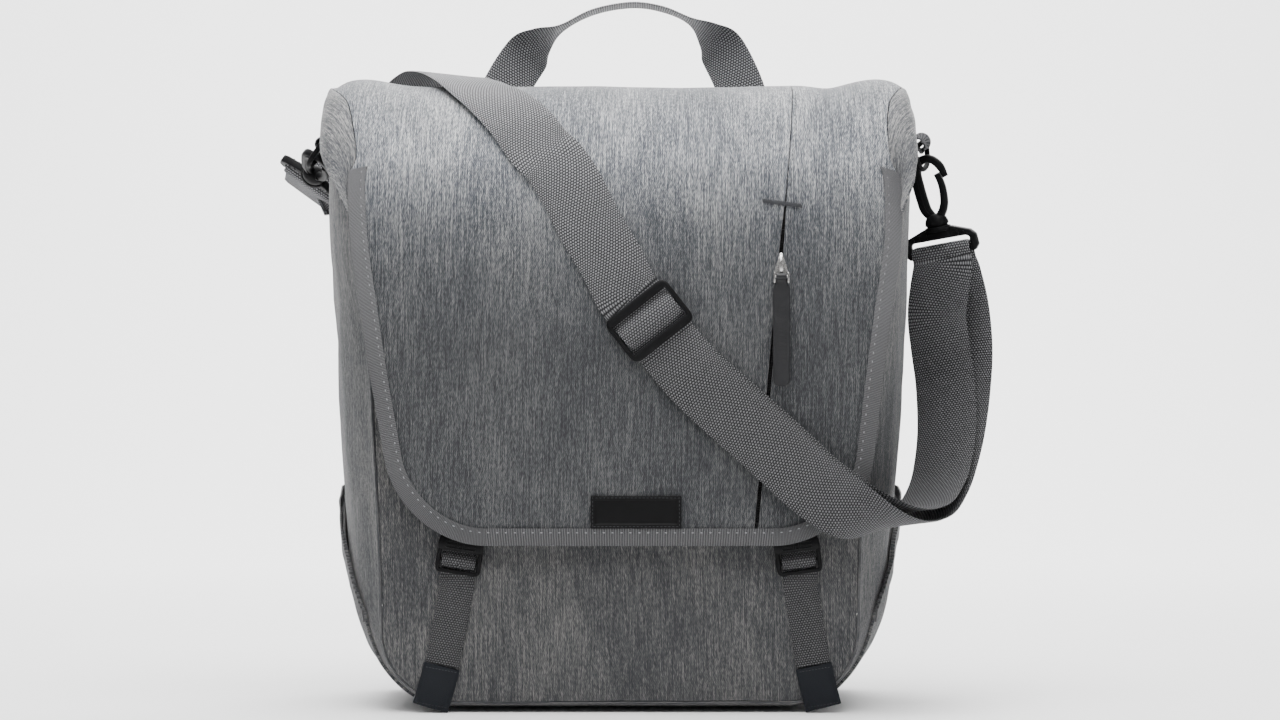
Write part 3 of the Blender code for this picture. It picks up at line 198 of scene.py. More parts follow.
def loft(name, rings, closed=False, marks=None):
    # a grid rolled up through rings of points; open ends are capped
    count, stations = len(rings[0]), len(rings)
    deselect()
    rows = stations if closed else stations - 1
    bpy.ops.mesh.primitive_grid_add(x_subdivisions=count, y_subdivisions=rows, size=2)
    piece = named(name)
    across, along = [], []
    for vertex in piece.data.vertices:
        i = round((vertex.co.x + 1) / 2 * count)
        j = round((vertex.co.y + 1) / 2 * rows)
        vertex.co = rings[j % stations][i % count]
        mark = marks(i, j) if marks else (i * mm, j * mm)
        across.append(mark[0])
        along.append(mark[1])
    writeWeave(piece, across, along)
    pick(piece)
    bpy.ops.object.mode_set(mode="EDIT")
    bpy.ops.mesh.select_all(action="SELECT")
    bpy.ops.mesh.remove_doubles(threshold=0.005 * mm)
    if not closed:
        bpy.ops.mesh.select_all(action="SELECT")
        bpy.ops.mesh.fill_holes(sides=0)
    bpy.ops.mesh.select_all(action="SELECT")
    bpy.ops.mesh.normals_make_consistent(inside=False)
    bpy.ops.object.mode_set(mode="OBJECT")
    return piece


def oval(width, height, count=16, squareness=1.0):
    points = []
    for step in range(count):
        angle = math.tau * step / count
        c, s = math.cos(angle), math.sin(angle)
        points.append((math.copysign(abs(c) ** squareness, c) * width / 2,
                       math.copysign(abs(s) ** squareness, s) * height / 2))
    return points


def sweep(name, path, section, facing, closed=False, scales=None):
    # a rod: the section's first number lies in the path's plane, the second along facing
    count = len(path)
    rings = []
    facing = Vector(facing).normalized()
    for index, point in enumerate(path):
        ahead = path[(index + 1) % count] if closed else path[min(index + 1, count - 1)]
        behind = path[index - 1] if closed else path[max(index - 1, 0)]
        travel = (Vector(ahead) - Vector(behind)).normalized()
        side = facing.cross(travel).normalized()
        up = travel.cross(side)
        grow = scales(index / (count - 1)) if scales else 1.0
        rings.append([Vector(point) + side * a * grow + up * b * grow for a, b in section])
    return loft(name, rings, closed)


def rounded(points, closed=True, steps=5, turn=3 * mm):
    # replaces each corner of a path by a short arc
    result = []
    count = len(points)
    for index, corner in enumerate(points):
        if not closed and index in (0, count - 1):
            result.append(Vector(corner))
            continue
        before, after = Vector(points[index - 1]), Vector(points[(index + 1) % count])
        corner = Vector(corner)
        reach = min(turn, (before - corner).length * 0.48, (after - corner).length * 0.48)
        start = corner + (before - corner).normalized() * reach
        end = corner + (after - corner).normalized() * reach
        for step in range(steps + 1):
            share = step / steps
            result.append((1 - share) ** 2 * start + 2 * share * (1 - share) * corner + share ** 2 * end)
    return result


def block(name, size, middle, turn=None, soften=0.6 * mm, segments=2):
    # a moulded block: a cube primitive with its edges bevelled
    deselect()
    bpy.ops.mesh.primitive_cube_add(size=1, location=(0, 0, 0))
    piece = named(name)
    piece.scale = size
    bpy.ops.object.transform_apply(location=False, rotation=False, scale=True)
    bpy.ops.object.mode_set(mode="EDIT")
    bpy.ops.mesh.select_all(action="SELECT")
    bpy.ops.mesh.bevel(offset=soften, segments=segments, affect="EDGES")
    bpy.ops.object.mode_set(mode="OBJECT")
    pose = Matrix.Translation(middle)
    piece.matrix_world = pose @ turn.to_4x4() if turn else pose
    return piece


def plate(name, outline, thickness, middle, turn, soften):
    # a flat outline in millimetres, thickened and bevelled
    deselect()
    bpy.ops.mesh.primitive_circle_add(vertices=len(outline), radius=1, fill_type="NGON")
    piece = named(name)
    for vertex, (a, b) in zip(piece.data.vertices, outline):
        vertex.co = (a * mm, b * mm, 0)
    applyModifier(piece, "SOLIDIFY", thickness=thickness, offset=0.0)
    applyModifier(piece, "BEVEL", width=soften, segments=3, limit_method="ANGLE")
    pick(piece)
    bpy.ops.object.mode_set(mode="EDIT")
    bpy.ops.mesh.select_all(action="SELECT")
    bpy.ops.mesh.normals_make_consistent(inside=False)
    bpy.ops.object.mode_set(mode="OBJECT")
    piece.matrix_world = Matrix.Translation(middle) @ turn.to_4x4()
    return piece


def join(name, pieces):
    for piece in pieces:
        pick(piece)
        bpy.ops.object.transform_apply(location=True, rotation=True, scale=True)
    deselect()
    for piece in pieces:
        piece.select_set(True)
    bpy.context.view_layer.objects.active = pieces[0]
    if len(pieces) > 1:
        bpy.ops.object.join()
    return named(name)


def stitches(name, path, outward, thread, pitch, length, size, turn=0.0):
    # one stitch is modelled, then copied along the path with its own vertices
    deselect()
    bpy.ops.mesh.primitive_uv_sphere_add(segments=6, ring_count=5, radius=0.5)
    seed = bpy.context.object
    shape = [v.co.copy() for v in seed.data.vertices]
    faces = [list(face.vertices) for face in seed.data.polygons]
    bpy.data.objects.remove(seed)
    walk = [0.0]
    for low, high in zip(path, path[1:]):
        walk.append(walk[-1] + (high - low).length)
    points, polygons = [], []
    place, index = pitch / 2, 0
    while place < walk[-1]:
        while walk[index + 1] < place:
            index += 1
        share = (place - walk[index]) / (walk[index + 1] - walk[index])
        middle = path[index].lerp(path[index + 1], share)
        travel = (path[index + 1] - path[index]).normalized()
        out = outward[index].lerp(outward[index + 1], share).normalized()
        side = travel.cross(out).normalized()
        travel = travel * math.cos(turn) + side * math.sin(turn)
        side = travel.cross(out).normalized()
        first = len(points)
        for p in shape:
            points.append(middle + travel * p.z * length + side * p.x * size + out * p.y * size)
        polygons += [[first + corner for corner in face] for face in faces]
        place += pitch
    mesh = bpy.data.meshes.new(name)
    mesh.from_pydata(points, [], polygons)
    mesh.update()
    piece = bpy.data.objects.new(name, mesh)
    bpy.context.scene.collection.objects.link(piece)
    return settle(piece, thread)


# Shader helpers

class Signal:
    # wraps a socket, so that shader sums read as Python
    def __init__(self, tree, socket):
        self.tree, self.socket = tree, socket

    def maths(self, operation, *others):
        node = self.tree.nodes.new("ShaderNodeMath")
        node.operation = operation
        for socket, value in zip(node.inputs, (self, *others)):
            if isinstance(value, Signal):
                self.tree.links.new(value.socket, socket)
            else:
                socket.default_value = value
        return Signal(self.tree, node.outputs[0])

    def reflected(self, operation, other):
        node = self.tree.nodes.new("ShaderNodeMath")
        node.operation = operation
        node.inputs[0].default_value = other
        self.tree.links.new(self.socket, node.inputs[1])
        return Signal(self.tree, node.outputs[0])

    def __add__(self, other):
        return self.maths("ADD", other)

    __radd__ = __add__

    def __sub__(self, other):
        return self.maths("SUBTRACT", other)

    def __rsub__(self, other):
        return self.reflected("SUBTRACT", other)

    def __mul__(self, other):
        return self.maths("MULTIPLY", other)

    __rmul__ = __mul__

    def __truediv__(self, other):
        return self.maths("DIVIDE", other)

    def __rtruediv__(self, other):
        return self.reflected("DIVIDE", other)

    def __pow__(self, other):
        return self.maths("POWER", other)


class Finish:
    def __init__(self, name, colour, roughness, **fixed):
        self.material = bpy.data.materials.new(name)
        self.material.use_nodes = True
        self.material.diffuse_color = (*colour, 1)
        self.tree = self.material.node_tree
        self.shader = self.tree.nodes["Principled BSDF"]
        self.shader.inputs["Base Color"].default_value = (*colour, 1)
        self.shader.inputs["Roughness"].default_value = roughness
        for key, value in fixed.items():
            self.shader.inputs[key.replace("_", " ")].default_value = value

    def add(self, kind, settings=None, sockets=None, output=0):
        node = self.tree.nodes.new(kind)
        for key, value in (settings or {}).items():
            if key == "stops":
                ramp = node.color_ramp.elements
                while len(ramp) < len(value):
                    ramp.new(0.5)
                for element, (place, colour) in zip(ramp, value):
                    element.position = place
                    element.color = (*colour, 1)
            else:
                setattr(node, key, value)
        for key, value in (sockets or {}).items():
            if isinstance(value, Signal):
                self.tree.links.new(value.socket, node.inputs[key])
            else:
                node.inputs[key].default_value = value
        return Signal(self.tree, node.outputs[output])

    def feed(self, name, signal):
        self.tree.links.new(signal.socket, self.shader.inputs[name])

    def weave(self, across, along):
        uv = self.add("ShaderNodeUVMap", {"uv_map": "weave"})
        return self.add("ShaderNodeMapping", {}, {"Vector": uv, "Scale": (across, along, 1)})

    def noise(self, vector, detail=2.0, rough=0.55, scale=1.0):
        return self.add("ShaderNodeTexNoise", {"noise_dimensions": "3D"},
                        {"Vector": vector, "Scale": scale, "Detail": detail, "Roughness": rough})

    def streaks(self, wide, long, detail=2.0):
        # upright streaks: each thread is read further along than its neighbour, so no rows show
        place = self.weave(1, 1)
        across = self.part(place, 0) * wide
        along = self.part(place, 1) * long + across * 0.381
        slanted = self.add("ShaderNodeCombineXYZ", {}, {"X": across, "Y": along, "Z": across * 0.173})
        return self.noise(slanted, detail)

    def object(self, scale):
        place = self.add("ShaderNodeTexCoord", output=3)
        return self.add("ShaderNodeMapping", {}, {"Vector": place, "Scale": (scale, scale, scale)})

    def part(self, vector, axis):
        return self.add("ShaderNodeSeparateXYZ", {}, {"Vector": vector}, output=axis)

    def paintLightByHeight(self, colour, paintedLight):
        # the colour, times a painted light and shade that follows its height on the bag
        height = self.part(self.object(1), 2)
        stops = [(place, (tone, tone, tone * 1.01)) for place, tone in paintedLightStops[paintedLight]]
        shade = self.ramp(height / paintedLightHeight, stops)
        return self.add("ShaderNodeVectorMath", {"operation": "MULTIPLY"}, {0: colour, 1: shade})

    def ramp(self, factor, stops):
        return self.add("ShaderNodeValToRGB", {"stops": stops}, {"Fac": factor})

    def relief(self, height, distance, strength=1.0):
        self.feed("Normal", self.add("ShaderNodeBump", {}, {
            "Height": height, "Distance": distance, "Strength": strength}))


melangeLook = {
    "dark": (0.022, 0.026, 0.034),
    "middle": (0.095, 0.102, 0.114),
    "light": (0.42, 0.42, 0.41),
    "streakWide": 1800, "streakLong": 52,
    "threadWide": 3000, "threadLong": 400,
}


# Painted light and shade: each cloth's colour is made lighter or darker by its height on the bag, for the top
# light on the roll and the shade lower down
paintedLightHeight = 0.4
paintedLightStops = {
    # painted light and shade: height as a share of the height set above, painted shade
    "flap": [(0.35, 0.37), (0.54, 0.38), (0.65, 0.58), (0.72, 0.86),
             (0.78, 1.50), (0.84, 1.90), (0.90, 1.44), (0.94, 0.96)],
    "side": [(0.30, 0.72), (0.66, 0.80), (0.78, 1.20), (0.86, 1.30), (0.94, 1.00)],
    "front": [(0.05, 0.70), (0.22, 0.64)],
    "trim": [(0.10, 0.52), (0.50, 0.56), (0.62, 0.80), (0.80, 1.00)],
}


def makeMelange(name, shade, paintedLight, tint=(1, 1, 1)):
    # melange yarn: pale and slate threads in upright streaks over a fine twill
    look = melangeLook
    finish = Finish(name, look["middle"], 0.82, Sheen_Weight=0.12, Sheen_Roughness=0.5)
    streak = finish.streaks(look["streakWide"], look["streakLong"], 3)
    thread = finish.streaks(look["threadWide"], look["threadLong"], 2)
    speck = finish.noise(finish.weave(2700, 2700), 1)
    patch = finish.noise(finish.weave(22, 9), 2)
    twill = finish.weave(1, 1)
    across, along = finish.part(twill, 0), finish.part(twill, 1)
    rib = ((across + along * 0.6) * (math.tau / (1.2 * mm))).maths("SINE")
    tone = (0.46 + (streak - 0.5) * 1.15 + (thread - 0.5) * 1.5 + (speck - 0.5) * 0.6 + (patch - 0.5) * 0.5
            + rib * 0.06)

    def toned(colour):
        return tuple(c * shade * t for c, t in zip(colour, tint))

    yarn = finish.ramp(tone, [
        (0.18, toned(look["dark"])), (0.47, toned(look["middle"])), (0.86, toned(look["light"]))])
    # painted light and shade: the cloth is painted paler where it rolls over at the front, where the top
    # light falls, and darker below
    finish.feed("Base Color", finish.paintLightByHeight(yarn, paintedLight))
    finish.relief(thread * 0.6 + speck * 0.5 + rib * 0.12, 0.25 * mm, 0.9)
    return finish.material


def makeWebbing(name="webbing", across=1.72 * mm, along=1.5 * mm, low=(0.016, 0.016, 0.018),
                high=(0.37, 0.37, 0.38), shine=0.22):
    # plain weave of thick yarns: staggered rows of pale knots with dark gaps between them
    finish = Finish(name, high, 0.72, Sheen_Weight=0.2 * shine, Sheen_Roughness=0.45,
                    Specular_IOR_Level=shine)
    place = finish.weave(1, 1)
    row = finish.part(place, 1) / along
    stagger = row.maths("FLOOR") * 0.5
    column = finish.part(place, 0) / across + stagger
    knot = (column.maths("FRACT") * math.pi).maths("SINE") * (row.maths("FRACT") * math.pi).maths("SINE")
    slant = (column.maths("FRACT") + row.maths("FRACT") * 0.8) * math.pi
    knot = knot.maths("MAXIMUM", 0.0) ** 0.75 * (0.82 + slant.maths("SINE") * 0.18)
    wear = finish.noise(finish.weave(900, 900), 2)
    tone = (knot * (0.72 + wear * 0.55)).maths("MINIMUM", 1.0)
    between = tuple(lerp(a, b, 0.42) for a, b in zip(low, high))
    yarn = finish.ramp(tone, [(0.20, low), (0.62, between), (0.98, high)])
    # painted light and shade: the webbing is painted darker low on the bag and paler higher up
    finish.feed("Base Color", finish.paintLightByHeight(yarn, "trim"))
    finish.relief(knot, 0.45 * mm, 0.9)
    return finish.material


def makeBinding():
    # a ribbed tape: fine cords across it
    finish = Finish("ribbed_tape", (0.13, 0.13, 0.145), 0.66, Sheen_Weight=0.08)
    place = finish.weave(1, 1)
    cord = (finish.part(place, 1) * (math.tau / (1.45 * mm))).maths("SINE") * 0.5 + 0.5
    fibre = finish.noise(finish.weave(2600, 900), 2)
    tone = cord * 0.55 + fibre * 0.6
    cords = finish.ramp(tone, [(0.28, (0.028, 0.028, 0.030)), (0.82, (0.160, 0.160, 0.166))])
    # painted light and shade: the tape is painted darker low on the bag and paler higher up
    finish.feed("Base Color", finish.paintLightByHeight(cords, "trim"))
    finish.relief(cord + fibre * 0.4, 0.3 * mm, 0.8)
    return finish.material


def makePlain(name, colour, roughness, grain, depth, **fixed):
    # moulded or coated stuff: a faint grain, and roughness that varies with it
    finish = Finish(name, colour, roughness, **fixed)
    fine = finish.noise(finish.object(grain), 3, 0.6)
    broad = finish.noise(finish.object(grain / 14), 2)
    finish.feed("Roughness", roughness + (fine - 0.5) * 0.16 + (broad - 0.5) * 0.12)
    finish.feed("Base Color", finish.ramp(fine * 0.6 + broad * 0.4, [
        (0.25, tuple(c * 0.72 for c in colour)), (0.8, tuple(c * 1.35 for c in colour))]))
    finish.relief(fine, depth, 0.5)
    return finish.material


def makeWoven(name, colour, pitch, roughness=0.75, sheen=0.1):
    # a tight plain cloth
    finish = Finish(name, colour, roughness, Sheen_Weight=sheen, Specular_IOR_Level=0.3)
    place = finish.weave(math.tau / pitch, math.tau / pitch)
    over = finish.part(place, 0).maths("SINE") * finish.part(place, 1).maths("SINE")
    fibre = finish.noise(finish.weave(1800, 1800), 2)
    finish.feed("Base Color", finish.ramp(over * 0.25 + fibre * 0.8, [
        (0.15, tuple(c * 0.5 for c in colour)), (0.75, tuple(c * 1.6 for c in colour))]))
    finish.relief(over * 0.5 + fibre, 0.2 * mm, 0.8)
    return finish.material


# one melange cloth made three times, with painted shade: the sides darker than the flap, the front under the
# flap darkest
melange = makeMelange("melange_flap", 0.78, "flap")
gussetMelange = makeMelange("melange_side", 0.66, "side", (1.03, 1.0, 0.97))
frontMelange = makeMelange("melange_front", 0.56, "front", (1.05, 1.01, 0.97))
webbing = makeWebbing()
narrowWebbing = makeWebbing("narrow_webbing", 1.5 * mm, 1.35 * mm, (0.022, 0.022, 0.024), (0.27, 0.27, 0.275))
tabWebbing = makeWebbing("tab_webbing", 1.5 * mm, 1.35 * mm, (0.014, 0.014, 0.016), (0.150, 0.150, 0.156),
                         shine=0.05)
bindingTape = makeBinding()
backCloth = makeWoven("back_cloth", (0.055, 0.056, 0.060), 1.1 * mm)
navySleeve = makeWoven("navy_sleeve", (0.0036, 0.0052, 0.0088), 0.9 * mm, sheen=0.0)
tapeCloth = makeWoven("tape_cloth", (0.012, 0.012, 0.013), 0.8 * mm, 0.65)
plastic = makePlain("black_plastic", (0.0058, 0.0058, 0.0063), 0.48, 1500, 0.05 * mm, Specular_IOR_Level=0.09)
rubber = makePlain("black_rubber", (0.004, 0.004, 0.0043), 0.52, 2400, 0.08 * mm, Specular_IOR_Level=0.12)
blackWire = makePlain("black_wire", (0.006, 0.006, 0.0065), 0.55, 900, 0.04 * mm, Specular_IOR_Level=0.05)
pullRubber = makePlain("pull_rubber", (0.014, 0.014, 0.0155), 0.5, 2400, 0.08 * mm, Specular_IOR_Level=0.3)
silver = makePlain("bright_slider", (0.62, 0.61, 0.60), 0.26, 1600, 0.04 * mm, Metallic=1.0)
paleThread = makePlain("pale_thread", (0.21, 0.21, 0.22), 0.7, 3000, 0.05 * mm)
darkThread = makePlain("dark_thread", (0.025, 0.026, 0.030), 0.7, 3000, 0.05 * mm)
print("materials made")


# The bag's body

body = {
    "wall": 1.6 * mm, "backWall": 2.6 * mm, "frontBulge": 5 * mm, "seamLift": 5 * mm,
    "cornerAcross": 65 * mm, "cornerUp": 100 * mm, "seamCorner": 43 * mm, "rimDip": 40 * mm,
    "columns": 120, "depthRows": 44,
}
bodyLines = [
    # up, outside, front seam
    (0.00, 0.905, 0.800), (0.28, 0.934, 0.812), (0.45, 0.959, 0.830), (0.61, 0.980, 0.847),
    (0.74, 0.990, 0.893), (0.83, 1.000, 0.897), (1.00, 1.000, 0.900),
]
gussetSwell = [
    # depth, swell
    (0.00, 0.00), (0.06, 0.38), (0.15, 0.75), (0.30, 0.97), (0.55, 1.00), (0.80, 0.99), (0.92, 0.90),
    (1.00, 0.76),
]
sideShare, cornerShare = 10 / 40, 7 / 40


def bodyOutline(around, line, top, inset=0.0):
    # a point on the outside (1) or the front seam (2), from the left rim under the base to the right
    side = 1 if around > 0.5 else -1
    along = min(around, 1 - around)
    if line == 1:
        floor, across, tall = 0.0, body["cornerAcross"], body["cornerUp"]
    else:
        floor, across, tall = body["seamLift"], body["seamCorner"], body["seamCorner"]
    knee = floor + tall
    straight = softTable(bodyLines, knee / rimHeight, line) * halfWidth
    if along <= sideShare:
        height = lerp(top, knee, along / sideShare)
        return side * (softTable(bodyLines, height / rimHeight, line) * halfWidth - inset), height
    if along <= sideShare + cornerShare:
        angle = (along - sideShare) / cornerShare * math.pi / 2
        half = straight - across + (across - inset) * math.cos(angle)
        return side * half, knee - (tall - inset) * math.sin(angle)
    flat = (0.5 - along) / (0.5 - sideShare - cornerShare)
    return side * (straight - across) * flat, floor + inset


def gussetTop(depth):
    front = max(1 - depth / 0.3, 0.0)
    back = max((depth - 0.8) / 0.2, 0.0)
    return rimHeight - body["rimDip"] * front ** 1.5 - body["rimDip"] / 2 * back


def gussetMiddle(around, depth):
    swell = softTable(gussetSwell, depth, 1)
    top = gussetTop(depth)
    seam = bodyOutline(around, 2, top, body["wall"] / 2)
    outside = bodyOutline(around, 1, top, body["wall"] / 2)
    y = lerp(-halfDepth + gap, halfDepth - gap, depth)
    return Vector((lerp(seam[0], outside[0], swell), y, lerp(seam[1], outside[1], swell)))


def gussetPoint(around, depth, lift=0.0):
    point = gussetMiddle(around, depth)
    if not lift:
        return point
    step = 0.01
    along = gussetMiddle(min(around + step, 1.0), depth) - gussetMiddle(max(around - step, 0.0), depth)
    inward = gussetMiddle(around, min(depth + step, 1.0)) - gussetMiddle(around, max(depth - step, 0.0))
    return point + inward.cross(along).normalized() * lift


def gussetSag(around, depth):
    # slack in the ends: long shallow folds, flat under the base and at the seams
    onSide = ease((0.44 - min(around, 1 - around)) / 0.12)
    free = math.sin(math.pi * depth) ** 0.6
    place = gussetMiddle(around, depth)
    soft = ripple((place.x * 0.6, place.y * 1.6, place.z * 0.7), 34 * mm, 2.2 * mm, 3.1)
    fine = ripple((place.x, place.y * 2.2, place.z), 14 * mm, 0.5 * mm, 5.2)
    return onSide * free * (soft + fine - 0.4 * mm)


def frontFace(x, z):
    half = softTable(bodyLines, z / rimHeight, 2) * halfWidth
    across = min(abs(x) / half, 1.0)
    up = min(abs(z / rimHeight - 0.5) * 2, 1.0)
    return -halfDepth - body["frontBulge"] * (1 - across ** 2) * (1 - up ** 4)


def rimInside(around, depth, inset):
    step = 0.01
    point = gussetMiddle(around, depth)
    along = gussetMiddle(around + step, depth) - gussetMiddle(max(around - step, 0.0), depth)
    return point + Vector((-along.z, 0.0, along.x)).normalized() * inset


def makeBody():
    def gusset(across, along):
        return gussetPoint(along, across, gussetSag(along, across) + 0.001 * mm)

    piece = cloth("gusset_cloth", body["depthRows"], body["columns"], gusset, body["wall"])
    settle(piece, gussetMelange, ["gusset"])

    foot = sideShare + cornerShare
    inset = body["wall"] / 2 + 1.5 * gap

    def front(across, up):
        point = rimInside(lerp(foot, 0.0, up), 0.0, inset)
        x = abs(point.x) * (2 * across - 1)
        edge = 1 - abs(2 * across - 1)
        slack = ease(edge * 6) * ease(up * 9)
        swell = ripple((x, 0, point.z * 0.7), 48 * mm, 1.7 * mm, 8.3)
        swell += ripple((x, 0, point.z), 17 * mm, 0.4 * mm, 1.3)
        return Vector((x, frontFace(x, point.z) + body["wall"] / 2 - slack * (swell + 0.2 * mm), point.z))

    piece = cloth("front_cloth", 96, 100, front, body["wall"])
    settle(piece, frontMelange, ["front_panel"])

    def back(across, up):
        point = rimInside(lerp(foot, 0.0, up), 1.0, inset)
        x = abs(point.x) * (2 * across - 1)
        edge = min(1 - abs(2 * across - 1), up, 1 - up)
        groove = 0.9 * mm * bump(edge, 0.07, 0.008)
        return Vector((x, halfDepth - body["backWall"] / 2 - groove, point.z))

    piece = cloth("back_cloth", 90, 90, back, body["backWall"])
    settle(piece, backCloth, ["back_panel"])

    # the seam where the front panel meets the gusset
    welt = []
    steps = 150
    for step in range(steps + 1):
        around = step / steps
        welt.append(gussetPoint(around, 0.0, 0.0) + Vector((0, -0.1 * mm, 0)))
    piece = sweep("front_seam_welt", welt, oval(1.9 * mm, 1.9 * mm, 8), (0, 1, 0))
    settle(piece, gussetMelange)
    print("body made")


# Side pockets

pocket = {"wall": 1.6 * mm, "mouth": 1.6 * mm, "slant": 0.55, "steps": 40, "tapeWall": 1.1 * mm}


def makePockets():
    mouth = sideShare - 1 / pocket["steps"]
    foot = sideShare + 5 / pocket["steps"]
    slant = 2 / pocket["steps"]
    seat = body["wall"] + gap / 3
    lift = pocket["wall"] / 2 + gap + pocket["tapeWall"] / 2
    for name, side in (("left", -1), ("right", 1)):
        def surface(across, along, side=side, rise=0.0):
            depth = lerp(0.062, 0.918, across)
            lowered = slant * max(1 - depth / pocket["slant"], 0.0) ** 1.2
            around = lerp(mouth + lowered, foot, along)
            openBy = pocket["mouth"] * (1 - along) ** 2 * math.sin(math.pi * depth)
            if side > 0:
                around = 1 - around
            return gussetPoint(around, depth, gussetSag(around, depth) + seat + openBy + rise)

        piece = cloth("side_pocket_cloth_" + name, 40, 40, surface, pocket["wall"])
        settle(piece, gussetMelange, ["side_pocket_" + name])

        def edge(across, along, surface=surface):
            return surface(across, lerp(-0.035, 0.07, along), rise=lift)

        piece = cloth("side_pocket_tape_" + name, 60, 4, edge, pocket["tapeWall"],
                      weave=lambda a, b: (b * 8 * mm, a * 120 * mm))
        settle(piece, bindingTape, ["pocket_binding_" + name])
    print("side pockets made")


# The flap

flap = {
    "wall": 1.5 * mm, "standOff": 13.5 * mm, "corner": 51 * mm, "cheekSwell": 3.0 * mm,
    "shoulderRise": 4 * mm, "tapeWidth": 10 * mm, "tapeWall": 1.2 * mm, "tapeLap": 0.8 * mm,
    "tapeWeave": 1020 * mm,
    "slit": 2.4 * mm, "seamSlit": 0.5 * mm, "rows": 190, "cheekLast": 10.3, "tapeFirst": 9.6,
}
flapBackY = halfDepth + gap + 0.8 * mm
flapFrontY = -halfDepth - flap["standOff"]
flapFaceY = flapFrontY - 0.8 * mm
flapRows = [
    # depth (0 back, 1 front), up, half width, middle
    (0.000, 0.815, 0.965, 0.000), (0.000, 0.915, 0.970, 0.000), (0.024, 0.962, 0.980, -0.004),
    (0.100, 0.990, 0.988, -0.008), (0.300, 1.000, 0.990, -0.010), (0.500, 0.998, 0.988, -0.010),
    (0.680, 0.984, 0.960, -0.008), (0.800, 0.960, 0.915, -0.004), (0.890, 0.923, 0.896, 0.002),
    (0.945, 0.878, 0.892, 0.012), (0.975, 0.838, 0.918, 0.016), (0.998, 0.740, 0.912, 0.022),
    (1.000, 0.640, 0.882, 0.022), (1.000, 0.530, 0.849, 0.024), (1.000, 0.398, 0.808, 0.032),
    (1.000, 0.267, 0.767, 0.034),
]
lastRow = len(flapRows) - 1
cheekEdge = [
    # flap row, depth, up, swell
    (0.0, 0.030, 0.812, 0.55), (1.5, 0.060, 0.880, 0.80), (3.0, 0.150, 0.922, 0.95),
    (4.5, 0.400, 0.927, 1.00), (6.0, 0.660, 0.915, 0.85), (7.5, 0.860, 0.880, 0.10),
    (8.6, 0.945, 0.845, -1.30), (9.4, 0.972, 0.826, -2.30), (10.3, 0.985, 0.786, -4.40),
]


def flapRow(row):
    depth, up, half, middle = smooth(flapRows, row)
    return lerp(flapBackY, flapFrontY, depth), up * crestHeight, half * halfWidth, middle * halfWidth


def flapNormal(row):
    ahead = flapRow(min(row + 0.05, lastRow))
    behind = flapRow(max(row - 0.05, 0))
    travel = Vector((0.0, ahead[0] - behind[0], ahead[1] - behind[1])).normalized()
    return Vector((0.0, travel.z, -travel.y))


def shoulder(x, row):
    onTop = bump(row, 4.5, 1.9)
    share = x / halfWidth
    rise = flap["shoulderRise"] * bump(abs(share), 0.89, 0.10)
    hollow = 2 * mm * bump(share, 0.72, 0.06)
    seam = 3.2 * mm * bump(abs(share), 0.988, 0.030)
    return onTop * (rise - hollow - seam)


def flapSag(x, row):
    # where the cloth gives: a soft hollow under the roll, pulls from the corners, a slack lower edge
    share = x / halfWidth
    place = (x * 0.75, row * 9 * mm, 0)
    soft = ripple(place, 42 * mm, 2.3 * mm, 2.2) + ripple(place, 16 * mm, 0.5 * mm, 7.7)
    pull = 0.0
    for side, tilt, reach in ((-1, 0.050, 0.012), (1, 0.046, 0.012), (-1, 0.080, 0.010)):
        line = abs(side * share - (0.86 - (row - 6.2) * tilt))
        pull += bump(line, 0.0, reach * 2.4) * ease((row - 6.3) / 1.2) * ease((10.6 - row) / 2.2) * 0.9 * mm
    hollow = bump(row, 9.6, 0.9) * 0.8 * mm * (0.5 + 0.5 * math.cos(share * 5.1))
    free = ease((row - 1.5) / 2)
    reach = ease((abs(share - 0.018) - 0.80) / 0.13) ** 2
    turned = (8.0 if share > 0 else 3.0) * mm * reach * ease((row - 7.6) / 1.8) * ease((12.2 - row) / 2.2)
    return free * (soft * 0.7 - pull - hollow) - turned


def flapPoint(x, row, lift=0.0):
    y, z = flapRow(row)[:2]
    return Vector((x, y, z + shoulder(x, row))) + flapNormal(row) * (lift + flapSag(x, row))


def flapHem(row):
    z = flapRow(row)[1]
    low = flapRows[-1][1] * crestHeight
    below = clamp((low + flap["corner"] - z) / flap["corner"])
    return flap["corner"] * (1 - math.sqrt(1 - below ** 2))


def zipX(row):
    up = flapRow(row)[1] / crestHeight if row >= 4 else 1.0
    return halfWidth * lerp(0.455, 0.591, (up - 0.29) / 0.71)


def slitHalf(row):
    return lerp(flap["seamSlit"], flap["slit"], clamp((row - 10.2) / 0.8)) / 2


def rowAtHeight(height):
    low, high = 6.0, float(lastRow)
    for _ in range(30):
        middle = (low + high) / 2
        if flapRow(middle)[1] > height:
            low = middle
        else:
            high = middle
    return (low + high) / 2


def evenRows(first, final, count):
    # flap rows at equal distances over the cloth
    fine = [lerp(first, final, step / 400) for step in range(401)]
    walk = [0.0]
    for low, high in zip(fine, fine[1:]):
        a, b = flapRow(low), flapRow(high)
        walk.append(walk[-1] + math.hypot(b[0] - a[0], b[1] - a[1]))
    rows, index = [], 0
    for step in range(count + 1):
        target = walk[-1] * step / count
        while index < 399 and walk[index + 1] < target:
            index += 1
        share = clamp((target - walk[index]) / max(walk[index + 1] - walk[index], 1e-9))
        rows.append((lerp(fine[index], fine[index + 1], share), target))
    return rows


